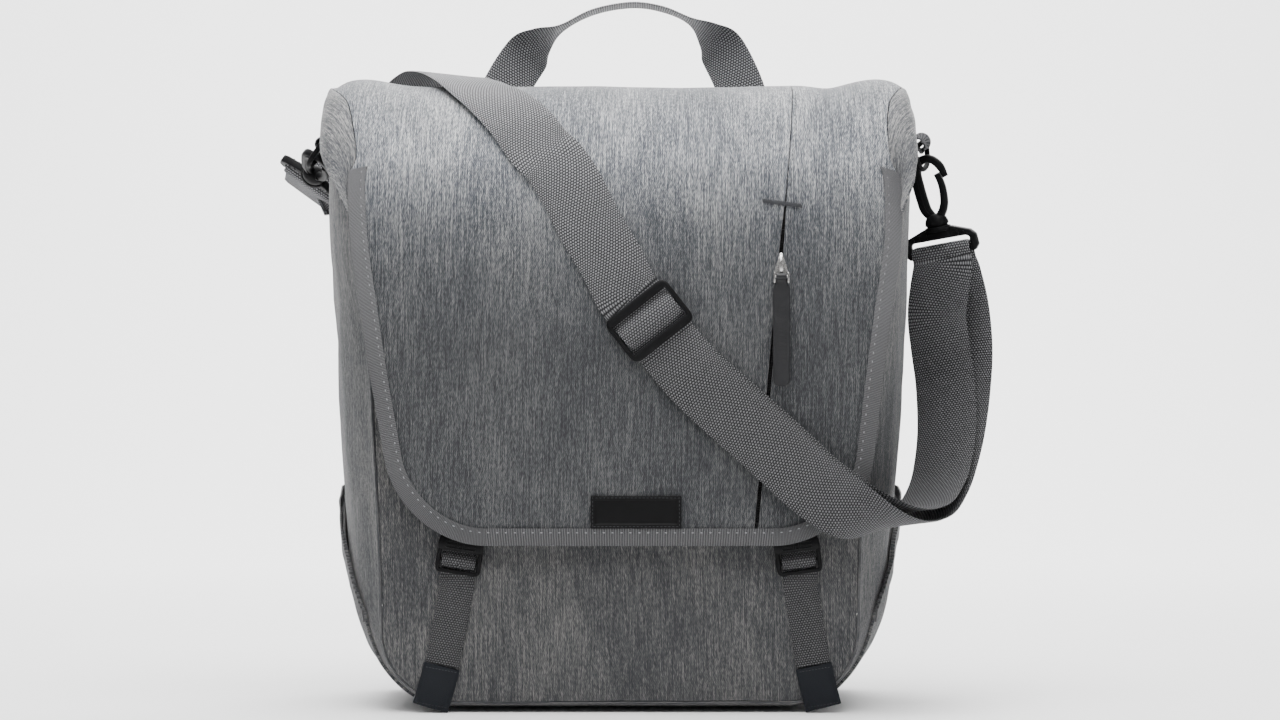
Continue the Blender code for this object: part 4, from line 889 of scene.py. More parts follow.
def hemLine(around, inset):
    # the flap's edge, from the left cheek round the hem to the right cheek
    low = flapRows[-1][1] * crestHeight
    side = 1 if around > 0.5 else -1
    along = min(around, 1 - around)
    if along <= 0.3:
        row = lerp(flap["tapeFirst"], rowAtHeight(low + flap["corner"]), along / 0.3)
        z, half, middle = flapRow(row)[1:]
        return middle + side * (half - inset), z
    if along <= 0.42:
        angle = (along - 0.3) / 0.12 * math.pi / 2
        half, middle = flapRow(rowAtHeight(low + flap["corner"] * (1 - math.sin(angle))))[2:]
        reach = flap["corner"] - inset
        x = middle + side * (half - flap["corner"] + reach * math.cos(angle))
        return x, low + flap["corner"] - reach * math.sin(angle)
    flat = (0.5 - along) / 0.08
    half, middle = flapRow(lastRow)[2:]
    return middle + side * (half - flap["corner"]) * flat, low + inset


def onFlap(x, z, lift):
    low = flapRows[-1][1] * crestHeight
    if z <= low:
        point = flapPoint(x, lastRow, lift)
        point.z = z
        return point
    return flapPoint(x, rowAtHeight(z), lift)


def makeFlap():
    rows = evenRows(0, lastRow, flap["rows"])
    low = flapRows[-1][1] * crestHeight

    def rolled(x, row):
        # cloth turned in along the zip stands a little prouder
        return 0.55 * mm * bump(x - zipX(row), 0.0, 3.2 * mm) * ease((row - 6.5) / 2)

    def panel(leftOf):
        def surface(across, share):
            row = rows[round(share * flap["rows"])][0]
            half, middle = flapRow(row)[2:]
            if leftOf:
                x = lerp(middle - half + flapHem(row), zipX(row) - slitHalf(row), across)
            else:
                x = lerp(zipX(row) + slitHalf(row), middle + half - flapHem(row), across)
            return flapPoint(x, row, rolled(x, row))
        return surface

    def weave(leftOf):
        def mark(across, share):
            row, walk = rows[round(share * flap["rows"])]
            half, middle = flapRow(row)[2:]
            if leftOf:
                return lerp(middle - half + flapHem(row), zipX(row) - slitHalf(row), across), walk
            return lerp(zipX(row) + slitHalf(row), middle + half - flapHem(row), across), walk
        return mark

    piece = cloth("flap_main_cloth", 96, flap["rows"], panel(True), flap["wall"], weave(True))
    settle(piece, melange, ["flap_main_panel"])
    piece = cloth("flap_zip_cloth", 40, flap["rows"], panel(False), flap["wall"], weave(False))
    settle(piece, melange, ["flap_zip_panel"])

    lift = flap["wall"] / 2 + gap + flap["tapeWall"] / 2
    steps = 420

    def binding(inner, around):
        inset = lerp(-flap["tapeLap"], flap["tapeWidth"] - flap["tapeLap"], inner)
        late = 0.007 * (1 - inner)
        around = lerp(late, 1 - late, around)
        x, z = hemLine(around, inset)
        crown = 0.35 * mm * (1 - (2 * inner - 1) ** 4) - 0.25 * mm
        return onFlap(x, z, lift + crown)

    piece = cloth("flap_tape", 8, steps, binding, flap["tapeWall"],
                  weave=lambda a, b: (a * flap["tapeWidth"], b * flap["tapeWeave"]))
    settle(piece, bindingTape, ["flap_binding"])

    path, outward = [], []
    for step in range(260):
        around = lerp(0.004, 0.996, step / 259)
        x, z = hemLine(around, flap["tapeWidth"] - flap["tapeLap"] - 2.4 * mm)
        path.append(onFlap(x, z, lift + flap["tapeWall"] / 2 + 0.15 * mm))
        outward.append(flapNormal(rowAtHeight(z) if z > low else lastRow))
    stitches("flap_tape_stitches", path, outward, paleThread, pitch=5.2 * mm, length=1.5 * mm, size=0.8 * mm)

    for name, side in (("left", -1), ("right", 1)):
        cheekRows = evenRows(0, flap["cheekLast"], 70)

        def cheek(down, share, side=side):
            row = cheekRows[round(share * 70)][0]
            half, middle = flapRow(row)[2:]
            seam = flapPoint(middle + side * (half + 2 * gap), row)
            depth, up, swell = [softTable(cheekEdge, row, column) for column in (1, 2, 3)]
            edgeX = middle + side * (halfWidth + flap["cheekSwell"] * swell)
            edge = Vector((edgeX, lerp(flapBackY, flapFrontY, depth), up * crestHeight))
            turn = down * math.pi / 2
            point = Vector((lerp(seam.x, edge.x, math.sin(turn)), lerp(edge.y, seam.y, math.cos(turn)),
                            lerp(edge.z, seam.z, math.cos(turn))))
            folds = ripple((down * 40 * mm, share * 150 * mm, 0), 13 * mm, 1.1 * mm, 4.4 + side)
            folds -= 0.9 * mm * bump(share, 0.62 + 0.1 * down, 0.05)
            folds += 0.8 * mm * bump(share, 0.74 - 0.08 * down, 0.05)
            return point + Vector((side * math.sin(math.pi * down) * folds, 0, 0))

        piece = cloth("flap_cheek_cloth_" + name, 24, 70, cheek, flap["wall"],
                      weave=lambda a, b: ((a * 31 + b * 86) * mm, (a * 15 - b * 171) * mm))
        settle(piece, gussetMelange, ["flap_cheek_" + name])
    print("flap made")


# The zip

zipLook = {
    "tapeWidth": 22 * mm, "tapeWall": 1.0 * mm, "tooth": 1.5 * mm, "sliderWidth": 8 * mm,
    "sliderLength": 17 * mm, "pullLength": 64 * mm, "pullWidth": 10 * mm, "pullWall": 2.4 * mm,
    "pinRadius": 0.85 * mm,
}


def makeZip():
    first, final = rowAtHeight(0.805 * crestHeight), rowAtHeight(0.30 * crestHeight)
    behind = -(flap["wall"] / 2 + 2 * gap + zipLook["tapeWall"] / 2)

    def tape(across, share):
        row = lerp(first, final, share)
        return flapPoint(zipX(row) + zipLook["tapeWidth"] * (across - 0.5), row, behind)

    piece = cloth("zip_cloth", 10, 90, tape, zipLook["tapeWall"])
    settle(piece, tapeCloth, ["zip_tape"])

    # the coil: a turn of monofilament is copied down the slit
    path, outward = [], []
    for step in range(120):
        row = lerp(rowAtHeight(0.775 * crestHeight), final, step / 119)
        path.append(flapPoint(zipX(row), row, behind + zipLook["tapeWall"] / 2 + 0.35 * mm))
        outward.append(flapNormal(row))
    for name, side in (("left", -1), ("right", 1)):
        shifted = [point + Vector((side * 0.55 * mm, 0, 0)) for point in path]
        piece = stitches("zip_coil_" + name, shifted, outward, rubber, pitch=zipLook["tooth"],
                         length=0.8 * mm, size=1.1 * mm)

    hinge = frame["joints"][0]
    x, pinY, pinZ = hinge["pos_m"]
    top = pinZ + zipLook["sliderLength"] - 3 * mm
    row = rowAtHeight(top - zipLook["sliderLength"])
    face = flapRow(row)[0] - 0.8 * mm - gap
    length, wide = zipLook["sliderLength"], zipLook["sliderWidth"]
    rings = []
    for share, half, deep in ((0.0, 0.06, 0.7), (0.03, 0.12, 1.4), (0.25, 0.26, 2.0), (0.50, 0.42, 2.4),
                              (0.66, 0.52, 2.6), (0.74, 0.56, 2.6), (0.79, 0.56, 2.2), (0.80, 0.54, 1.4)):
        section = oval(2 * half * wide, deep * mm, 16, 0.45)
        rings.append([Vector((x + a, face - 0.8 * mm + b, top - share * length)) for a, b in section])
    plate = loft("slider_plate", rings)
    bridge = []
    for step in range(13):
        angle = math.pi * step / 12
        out, up = 2.1 * mm * math.sin(angle), 5.6 * mm * math.cos(angle)
        bridge.append(Vector((x, face - 1.2 * mm - out, top - length * 0.42 + up)))
    arch = sweep("slider_bridge", bridge, oval(1.3 * mm, 2.2 * mm, 10, 0.7), (1, 0, 0))
    ears = []
    for side in (-1, 1):
        middle = Vector((x + side * 4.1 * mm, (face + pinY - 1.9 * mm) / 2, pinZ - 0.6 * mm))
        size = (1.1 * mm, face - pinY + 1.7 * mm, 6.4 * mm)
        ears.append(block("slider_ear", size, middle, soften=0.5 * mm))
    deselect()
    bpy.ops.mesh.primitive_cylinder_add(vertices=20, radius=zipLook["pinRadius"], depth=8.8 * mm,
                                        location=(x, pinY, pinZ), rotation=(0, math.pi / 2, 0))
    pin = named("slider_pin")
    piece = join("zip_slider_metal", [plate, arch, *ears, pin])
    settle(piece, silver, ["zip_slider"])

    # the pull: a rubber paddle with a raised rim and fine cross ribs, on an eye round the pin
    thick, broad, long = zipLook["pullWall"], zipLook["pullWidth"] / 2 / mm, zipLook["pullLength"] / mm
    eye = []
    for step in range(24):
        angle = math.tau * step / 24
        eye.append(Vector((x, pinY + 1.65 * mm * math.cos(angle), pinZ + 1.65 * mm * math.sin(angle))))
    eyeRing = sweep("pull_eye", eye, oval(0.85 * mm, 6.4 * mm, 12, 0.5), (1, 0, 0), closed=True)
    rings = []
    stations = [(1.4, 0.62), (2.4, 0.65), (4.2, 0.66), (5.2, 0.78), (6.4, 0.92), (8.0, 0.99), (11.0, 1.0)]
    stations += [(down, 1.0) for down in np.arange(13.0, long - 6.0, 0.8)]
    stations += [(long - 4.0, 1.0), (long - 2.0, 0.92), (long - 0.6, 0.72), (long, 0.44)]
    for down, share in stations:
        half = share * broad
        ribbed = 20.0 < down < 50.0 and math.sin(down * math.tau / 2.4) > 0
        deep = thick * (0.5 if down > long - 0.2 or down < 2 else 1.0)
        ring = []
        for step in range(40):
            angle = math.tau * step / 40
            c, s = math.cos(angle), math.sin(angle)
            a = math.copysign(abs(c) ** 0.55, c) * half * mm
            inside = ease((0.80 - abs(a) / (half * mm)) / 0.14)
            sunk = 1.0 - 0.34 * inside * ease((down - 11) / 2) * ease((long - 4 - down) / 2)
            rib = 0.24 if ribbed and abs(a) < 0.60 * half * mm else 0.0
            b = math.copysign(abs(s) ** 0.55, s) * deep / 2 * (sunk + rib)
            ring.append(Vector((x + a, pinY + b, pinZ - down * mm)))
        rings.append(ring)
    paddle = loft("pull_paddle", rings)
    piece = join("zip_pull_rubber", [eyeRing, paddle])
    settle(piece, pullRubber, ["zip_pull"], body="pull")

    # bar tack over the head of the zip, and the seam that runs on to the crest
    tackRow = rowAtHeight(0.799 * crestHeight)
    centre = zipX(tackRow) - 2 * mm
    path, outward = [], []
    for step in range(30):
        across = lerp(-11.5, 11.5, step / 29) * mm
        path.append(flapPoint(centre + across, tackRow + across * 3.5, flap["wall"] / 2 + 1.15 * mm))
        outward.append(flapNormal(tackRow))
    stitches("zip_bar_tack", path, outward, darkThread, pitch=0.75 * mm, length=3.1 * mm, size=0.95 * mm,
             turn=1.25)
    below = (tackRow + 0.15, lastRow - 0.6)
    seams = (("seam", 1.9 * mm, (6.2, tackRow - 0.1)), ("left", -3.4 * mm, below), ("right", 3.6 * mm, below))
    for name, offset, ends in seams:
        lift = flap["wall"] / 2 + 0.55 * mm * bump(offset, 0, 3.2 * mm) + 0.08 * mm
        path, outward = [], []
        for row, _ in evenRows(*ends, 120):
            path.append(flapPoint(zipX(row) + offset, row, lift))
            outward.append(flapNormal(row))
        stitches("zip_stitches_" + name, path, outward, darkThread, pitch=3.1 * mm, length=2.2 * mm,
                 size=0.4 * mm)
    print("zip made")


# The rubber label

def makeLabel():
    low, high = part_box("label_patch")
    size, middle = high - low, (high + low) / 2
    deselect()
    bpy.ops.mesh.primitive_cube_add(size=1, location=middle)
    piece = named("label_rubber")
    piece.scale = size
    bpy.ops.object.transform_apply(location=True, rotation=False, scale=True)
    bpy.ops.object.mode_set(mode="EDIT")
    bpy.ops.mesh.select_all(action="DESELECT")
    bpy.ops.object.mode_set(mode="OBJECT")
    for face in piece.data.polygons:
        face.select = face.normal.y < -0.9
    bpy.ops.object.mode_set(mode="EDIT")
    bpy.ops.mesh.select_mode(type="FACE")
    bpy.ops.mesh.inset(thickness=2.3 * mm, depth=0)
    bpy.ops.mesh.inset(thickness=0.5 * mm, depth=-0.7 * mm)
    bpy.ops.mesh.inset(thickness=0.4 * mm, depth=0)
    bpy.ops.mesh.select_all(action="SELECT")
    bpy.ops.mesh.quads_convert_to_tris()
    bpy.ops.mesh.tris_convert_to_quads()
    bpy.ops.object.mode_set(mode="OBJECT")
    applyModifier(piece, "BEVEL", width=0.35 * mm, segments=3, limit_method="ANGLE")
    settle(piece, rubber, ["label_patch"])
    wide, tall = size.x / 2 - 1.1 * mm, size.z / 2 - 1.1 * mm
    path = []
    for x, z in ((-1, -1), (1, -1), (1, 1), (-1, 1), (-1, -1)):
        path.append(Vector((middle.x + x * wide, low.y - 0.02 * mm, middle.z + z * tall)))
    stitches("label_stitches", path, [Vector((0, -1, 0))] * 5, darkThread, pitch=2.3 * mm,
             length=1.6 * mm, size=0.35 * mm)
    print("label made")


# Webbing

def ribbon(name, stations, width, wall, spans=10, columns=12):
    # a woven band with rounded selvedges, laid through stations of a middle and the way across
    rows = [tuple(middle) + tuple(across) for middle, across in stations]
    last = len(rows) - 1
    steps = spans * last
    rings, walk, before = [], [], None
    for step in range(steps + 1):
        place = step / spans
        values = smooth(rows, place)
        ahead, behind = smooth(rows, min(place + 0.05, last)), smooth(rows, max(place - 0.05, 0))
        travel = (Vector(ahead[:3]) - Vector(behind[:3])).normalized()
        middle, across = Vector(values[:3]), Vector(values[3:])
        across = (across - travel * across.dot(travel)).normalized()
        out = travel.cross(across)
        walk.append(0.0 if before is None else walk[-1] + (middle - before).length)
        before = middle
        ring = []
        for way in (1, -1):
            for column in range(columns + 1):
                share = 0.75 * (2 * column / columns - 1) - 0.25 * math.cos(math.pi * column / columns)
                share = clamp(share, -1, 1) * way
                near = clamp((abs(share) - 0.955) / 0.045)
                thick = wall / 2 * math.sqrt(max(1 - near ** 2, 0.0)) * (0.9 + 0.1 * math.cos(share * 2.4))
                ring.append(middle + across * width / 2 * share + out * way * thick)
        rings.append(ring)
    print(name, "is", round(walk[-1] / mm), "mm long")
    count = len(rings[0])

    def mark(i, j):
        column = i % count
        share = 2 * (column % (columns + 1)) / columns - 1
        if column > columns:
            share = -share
        if i == count:
            share = -1.0
        return share * width / 2, walk[min(j, len(walk) - 1)]

    return loft(name, rings, marks=mark)


strap = {"width": 38 * mm, "wall": 1.5 * mm, "wrap": 4.2 * mm, "barClear": 3 * mm, "sewn": 34 * mm}
hookLook = {"length": 61.5 * mm, "width": 22 * mm, "base": 48 * mm}
# The keys -1 and 1 stand for the left and the right side; swing and hooked are in degrees
ringLook = {"wire": 1.7 * mm, "half": 14 * mm, "deep": 15 * mm, "square": 0.8,
            "swing": {-1: 37, 1: 12}, "hooked": {-1: 144, 1: 90}}
tabLook = {
    "height": rimHeight - 15 * mm, "depth": {-1: 0.264 * halfDepth, 1: 0.071 * halfDepth}, "out": 7.8 * mm,
    "loop": 3.9 * mm, "bore": 2.5 * mm, "width": 20 * mm,
    "axis": {-1: Vector((0, 1, 0)), 1: Vector((0.32, 0.90, 0.26)).normalized()},
}


def frameOf(side):
    # directions of a snap hook: across its bar, along it to the nose, and its face
    if side > 0:
        along, across = Vector((-0.215, -0.105, 0.970)).normalized(), Vector((0.88, -0.44, 0.18))
    else:
        along, across = Vector((0.16, -0.965, 0.20)).normalized(), Vector((0.80, 0.02, -0.58))
    across = (across - along * across.dot(along)).normalized()
    return across, along, across.cross(along)


def ringBar(side):
    sag = tabLook["bore"] - ringLook["wire"] - gap
    return Vector((side * (halfWidth + tabLook["out"]), tabLook["depth"][side], tabLook["height"] - sag))


def ringPoint(side, turn):
    swing = math.radians(ringLook["swing"][side])
    hang = Vector((side * math.sin(swing), 0.0, -math.cos(swing)))
    across = math.copysign(abs(math.cos(turn)) ** ringLook["square"], math.cos(turn))
    down = abs(math.sin(turn)) ** ringLook["square"]
    return ringBar(side) - tabLook["axis"][side] * ringLook["half"] * across + hang * ringLook["deep"] * down


def baseMiddle(side):
    across, along, _ = frameOf(side)
    turn = math.radians(ringLook["hooked"][side])
    return ringPoint(side, turn) + across * 0.023 * hookLook["width"] - along * 0.8504 * hookLook["length"]


sliderMiddle = Vector((0.099 * halfWidth, 0.0, 0.6155 * crestHeight))
sliderAcross = Vector((0.785, 0.0, 0.619)).normalized()
sliderAlong = Vector((0.619, 0.0, -0.785)).normalized()
# The doubled stretch, from the slider down the front, round the turn and up to the right hook
doubleRoute = [
    # across, depth, up, way across x, y, z, apart from the return layer, return aside (millimetres)
    (0.256, 1.024, 0.525, 0.760, 0.00, 0.650, 1.9, 1.2),
    (0.365, 1.029, 0.477, 0.750, 0.00, 0.660, 2.0, 2.1),
    (0.477, 1.038, 0.430, 0.740, 0.00, 0.670, 2.3, 2.2),
    (0.570, 1.053, 0.390, 0.740, -0.04, 0.660, 3.0, 2.1),
    (0.660, 1.076, 0.353, 0.760, -0.12, 0.600, 4.0, 1.5),
    (0.760, 1.094, 0.322, 0.780, -0.26, 0.480, 5.4, 0.7),
    (0.860, 1.066, 0.303, 0.800, -0.46, 0.300, 7.2, 0.0),
    (0.950, 0.998, 0.298, 0.820, -0.58, 0.150, 7.6, 0.0),
    (1.025, 0.890, 0.308, 0.840, -0.56, 0.100, 7.0, 0.0),
    (1.078, 0.770, 0.334, 0.860, -0.52, 0.120, 6.6, 0.0),
    (1.118, 0.660, 0.370, 0.880, -0.48, 0.120, 6.0, -1.0),
    (1.160, 0.530, 0.430, 0.900, -0.42, 0.120, 8.0, -3.0),
    (1.192, 0.400, 0.500, 0.920, -0.40, 0.140, 13.0, -6.0),
    (1.206, 0.330, 0.570, 0.920, -0.40, 0.160, 18.0, -9.0),
    (1.196, 0.300, 0.640, 0.910, -0.42, 0.180, 18.0, -9.0),
    (1.165, 0.330, 0.698, 0.890, -0.44, 0.180, 11.0, -6.5),
]
# Single stretch over the flap: flap row, across, turn of the way across (degrees), lift (millimetres)
overFlap = [
    (4.7, -0.575, 46, 5.0), (5.5, -0.530, 38, 3.2), (6.3, -0.475, 27, 1.8), (7.2, -0.400, 17, 1.0),
    (8.0, -0.330, 11, 0.8), (8.8, -0.270, 11, 0.7), (9.5, -0.216, 15, 0.6), (10.2, -0.160, 20, 0.5),
    (10.75, -0.100, 28, 0.5), (11.3, -0.030, 34, 0.5),
]
# Single stretch behind the bag, from the left hook to the crest
behindBag = [
    # across, depth, up, way across x, y, z
    (-1.105, -0.225, 0.855, 0.76, 0.20, -0.62), (-1.025, -0.255, 0.882, 0.72, 0.15, -0.66),
    (-0.925, -0.235, 0.920, 0.70, 0.10, -0.70), (-0.830, -0.180, 0.965, 0.68, 0.25, -0.66),
    (-0.755, -0.080, 1.005, 0.65, 0.55, -0.50), (-0.695, 0.055, 1.028, 0.62, 0.74, -0.22),
    (-0.640, 0.210, 1.030, 0.62, 0.78, -0.04),
]


def layer(number):
    return flapFaceY - gap - strap["wall"] / 2 - number * (strap["wall"] + gap)


def sliderPlace(along, y):
    point = sliderMiddle + sliderAlong * along
    return Vector((point.x, y, point.z))


def bagPlace(across, depth, up):
    return Vector((across * halfWidth, lerp(halfDepth, flapFaceY, depth), up * crestHeight))


def doubleStation(row):
    across, depth, up, wx, wy, wz, apart, aside = row
    place = bagPlace(across, depth, up)
    if up > 0.40:
        place.z = lerp(0.40 * crestHeight, baseMiddle(1).z, (up - 0.40) / 0.3336)
    return place, Vector((wx, wy, wz)), apart * mm, aside * mm


def returnStations():
    stations, last = [], len(doubleRoute) - 1
    for index, row in enumerate(doubleRoute):
        middle, way, apart, aside = doubleStation(row)
        ahead = doubleStation(doubleRoute[min(index + 1, last)])[0]
        behind = doubleStation(doubleRoute[max(index - 1, 0)])[0]
        travel = (ahead - behind).normalized()
        way = (way - travel * way.dot(travel)).normalized()
        stations.append((middle - travel.cross(way) * apart + way * aside, way))
    return stations


def wrapStations(side, start, end, tailStart, tailEnd):
    across, along, facing = frameOf(side)
    middle = baseMiddle(side)
    stations = [(middle + facing * strap["wrap"] * math.cos(math.radians(start)) - along * tailStart, across)]
    for step in range(7):
        angle = math.radians(lerp(start, end, step / 6))
        outward = facing * math.cos(angle) + along * math.sin(angle)
        stations.append((middle + outward * strap["wrap"], across))
    stations.append((middle + facing * strap["wrap"] * math.cos(math.radians(end)) - along * tailEnd, across))
    return stations


def makeShoulderStrap():
    across, along, facing = frameOf(-1)
    middle = baseMiddle(-1)
    sewn, spread, end = (strap["wall"] + gap + 0.2 * mm) / 2, 0.8 * mm, strap["sewn"]
    stations = []
    for back, wider in ((end, 0.0), (end * 0.6, 0.0), (end * 0.3, spread)):
        stations.append((middle + facing * (sewn + wider) - along * back, across))
    stations += wrapStations(-1, 0, 180, strap["barClear"], strap["barClear"])
    for back, wider in ((end * 0.3, spread), (end * 0.6, 0.0)):
        stations.append((middle - facing * (sewn + wider) - along * back, across))
    for row in behindBag:
        stations.append((bagPlace(*row[:3]), Vector(row[3:])))
    for row, share, turn, lift in overFlap:
        stand = 0.8 * mm + gap + strap["wall"] / 2 + lift * mm
        normal = flapNormal(row)
        travel = Vector((0.0, -normal.z, normal.y))
        angle = math.radians(turn)
        way = Vector((1, 0, 0)) * math.cos(angle) - travel * math.sin(angle)
        stations.append((flapPoint(share * halfWidth, row, stand), way))
    # along the slider (mm), layer of webbing
    crossing = [(-22, 1.0), (-15.5, 1.0), (-10.2, 1.08), (-6.4, 2.25), (-2.9, 3.3), (0, 3.42),
                (2.9, 3.3), (6.4, 2.25), (10.2, 1.1), (15.5, 1.0), (22, 1.0)]
    for alongSlider, number in crossing:
        stations.append((sliderPlace(alongSlider * mm, layer(number)), sliderAcross))
    stations += [doubleStation(row)[:2] for row in doubleRoute]
    stations += wrapStations(1, 180, 0, 2.3 * strap["barClear"], strap["barClear"])
    piece = ribbon("shoulder_strap_webbing", stations, strap["width"], strap["wall"])
    settle(piece, webbing, ["shoulder_strap"], angle=60)

    across, along, facing = frameOf(1)
    middle = baseMiddle(1)
    wrap, clear = strap["wrap"], strap["barClear"]
    stations = [(middle + facing * wrap - along * (clear + 2 * gap), across),
                (middle + facing * wrap * 1.3 - along * 3.6 * clear - across * 0.8 * mm, across)]
    stations += reversed(returnStations()[:-1])
    ending = [(22, 0.0), (15.5, 0.0), (10.4, 0.0), (6.6, 1.0), (3.4, 2.2), (0, 2.32),
              (-2.4, 2.3), (-3.9, 1.8), (-4.3, 1.1), (-3.6, 0.25), (-2.2, 0.0), (0.5, 0.0)]
    for alongSlider, number in ending:
        stations.append((sliderPlace(alongSlider * mm, layer(number)), sliderAcross))
    piece = ribbon("shoulder_strap_return_webbing", stations, strap["width"], strap["wall"])
    settle(piece, webbing, ["shoulder_strap_return"], angle=60)
    print("shoulder strap made")


sliderLook = {
    "halfAcross": 22.3 * mm, "halfAlong": 15.5 * mm, "frame": 2.9 * mm, "frameBar": 5.6 * mm,
    "rounding": 3.6 * mm, "bar": 4.6 * mm, "barAcross": 40 * mm, "postAt": 20.7 * mm,
}


def makeStrapSlider():
    barBack = layer(1) - strap["wall"] / 2 - 2 * gap
    middleBack = layer(0) - strap["wall"] / 2 - gap
    centre = Vector((sliderMiddle.x, barBack - 1.6 * mm, sliderMiddle.z))

    def place(a, b, out=0.0):
        return centre + sliderAcross * a + sliderAlong * b + Vector((0, -out, 0))

    wide = sliderLook["halfAcross"] - sliderLook["frame"] / 2
    tall = sliderLook["halfAlong"] - sliderLook["frame"]
    corners = [place(-wide, -tall), place(wide, -tall), place(wide, tall), place(-wide, tall)]
    path = rounded(corners, turn=sliderLook["rounding"])
    rings = []
    count = len(path)
    for index, point in enumerate(path):
        travel = (path[(index + 1) % count] - path[index - 1]).normalized()
        side = Vector((0, 1, 0)).cross(travel).normalized()
        onBar = abs(travel.dot(sliderAcross))
        width = lerp(sliderLook["frame"], sliderLook["frameBar"], onBar ** 2)
        rings.append([point + side * a + Vector((0, b, 0)) for a, b in oval(width, 3.2 * mm, 16, 0.6)])
    ringPiece = loft("slider_frame", rings, closed=True)
    turn = Matrix((sliderAcross, -sliderAlong, Vector((0, -1, 0)))).transposed()
    middle = Vector((sliderMiddle.x, middleBack - 1.0 * mm, sliderMiddle.z))
    size = (sliderLook["barAcross"], sliderLook["bar"], 2.0 * mm)
    bars = [block("slider_middle", size, middle, turn, 0.7 * mm, 3)]
    middle = Vector((sliderMiddle.x, (middleBack + barBack) / 2 - 0.4 * mm, sliderMiddle.z))
    size = (2.2 * mm, sliderLook["bar"], middleBack - barBack + 1.4 * mm)
    for side in (-1, 1):
        post = middle + sliderAcross * side * sliderLook["postAt"]
        bars.append(block("slider_post", size, post, turn, 0.5 * mm))
    piece = join("strap_slider_plastic", [ringPiece, *bars])
    settle(piece, plastic, ["strap_slider"])
    print("strap slider made")


# Hooks, rings and their tabs

def spineWidth(share):
    # the hook's spine: slim at the root, and slimmer again towards the nose
    root = lerp(0.80, 1.0, ease(share * 4))
    return root * (1 - 0.30 * ease((share - 0.52) / 0.2)) * (1 - 0.3 * ease((share - 0.9) / 0.1))


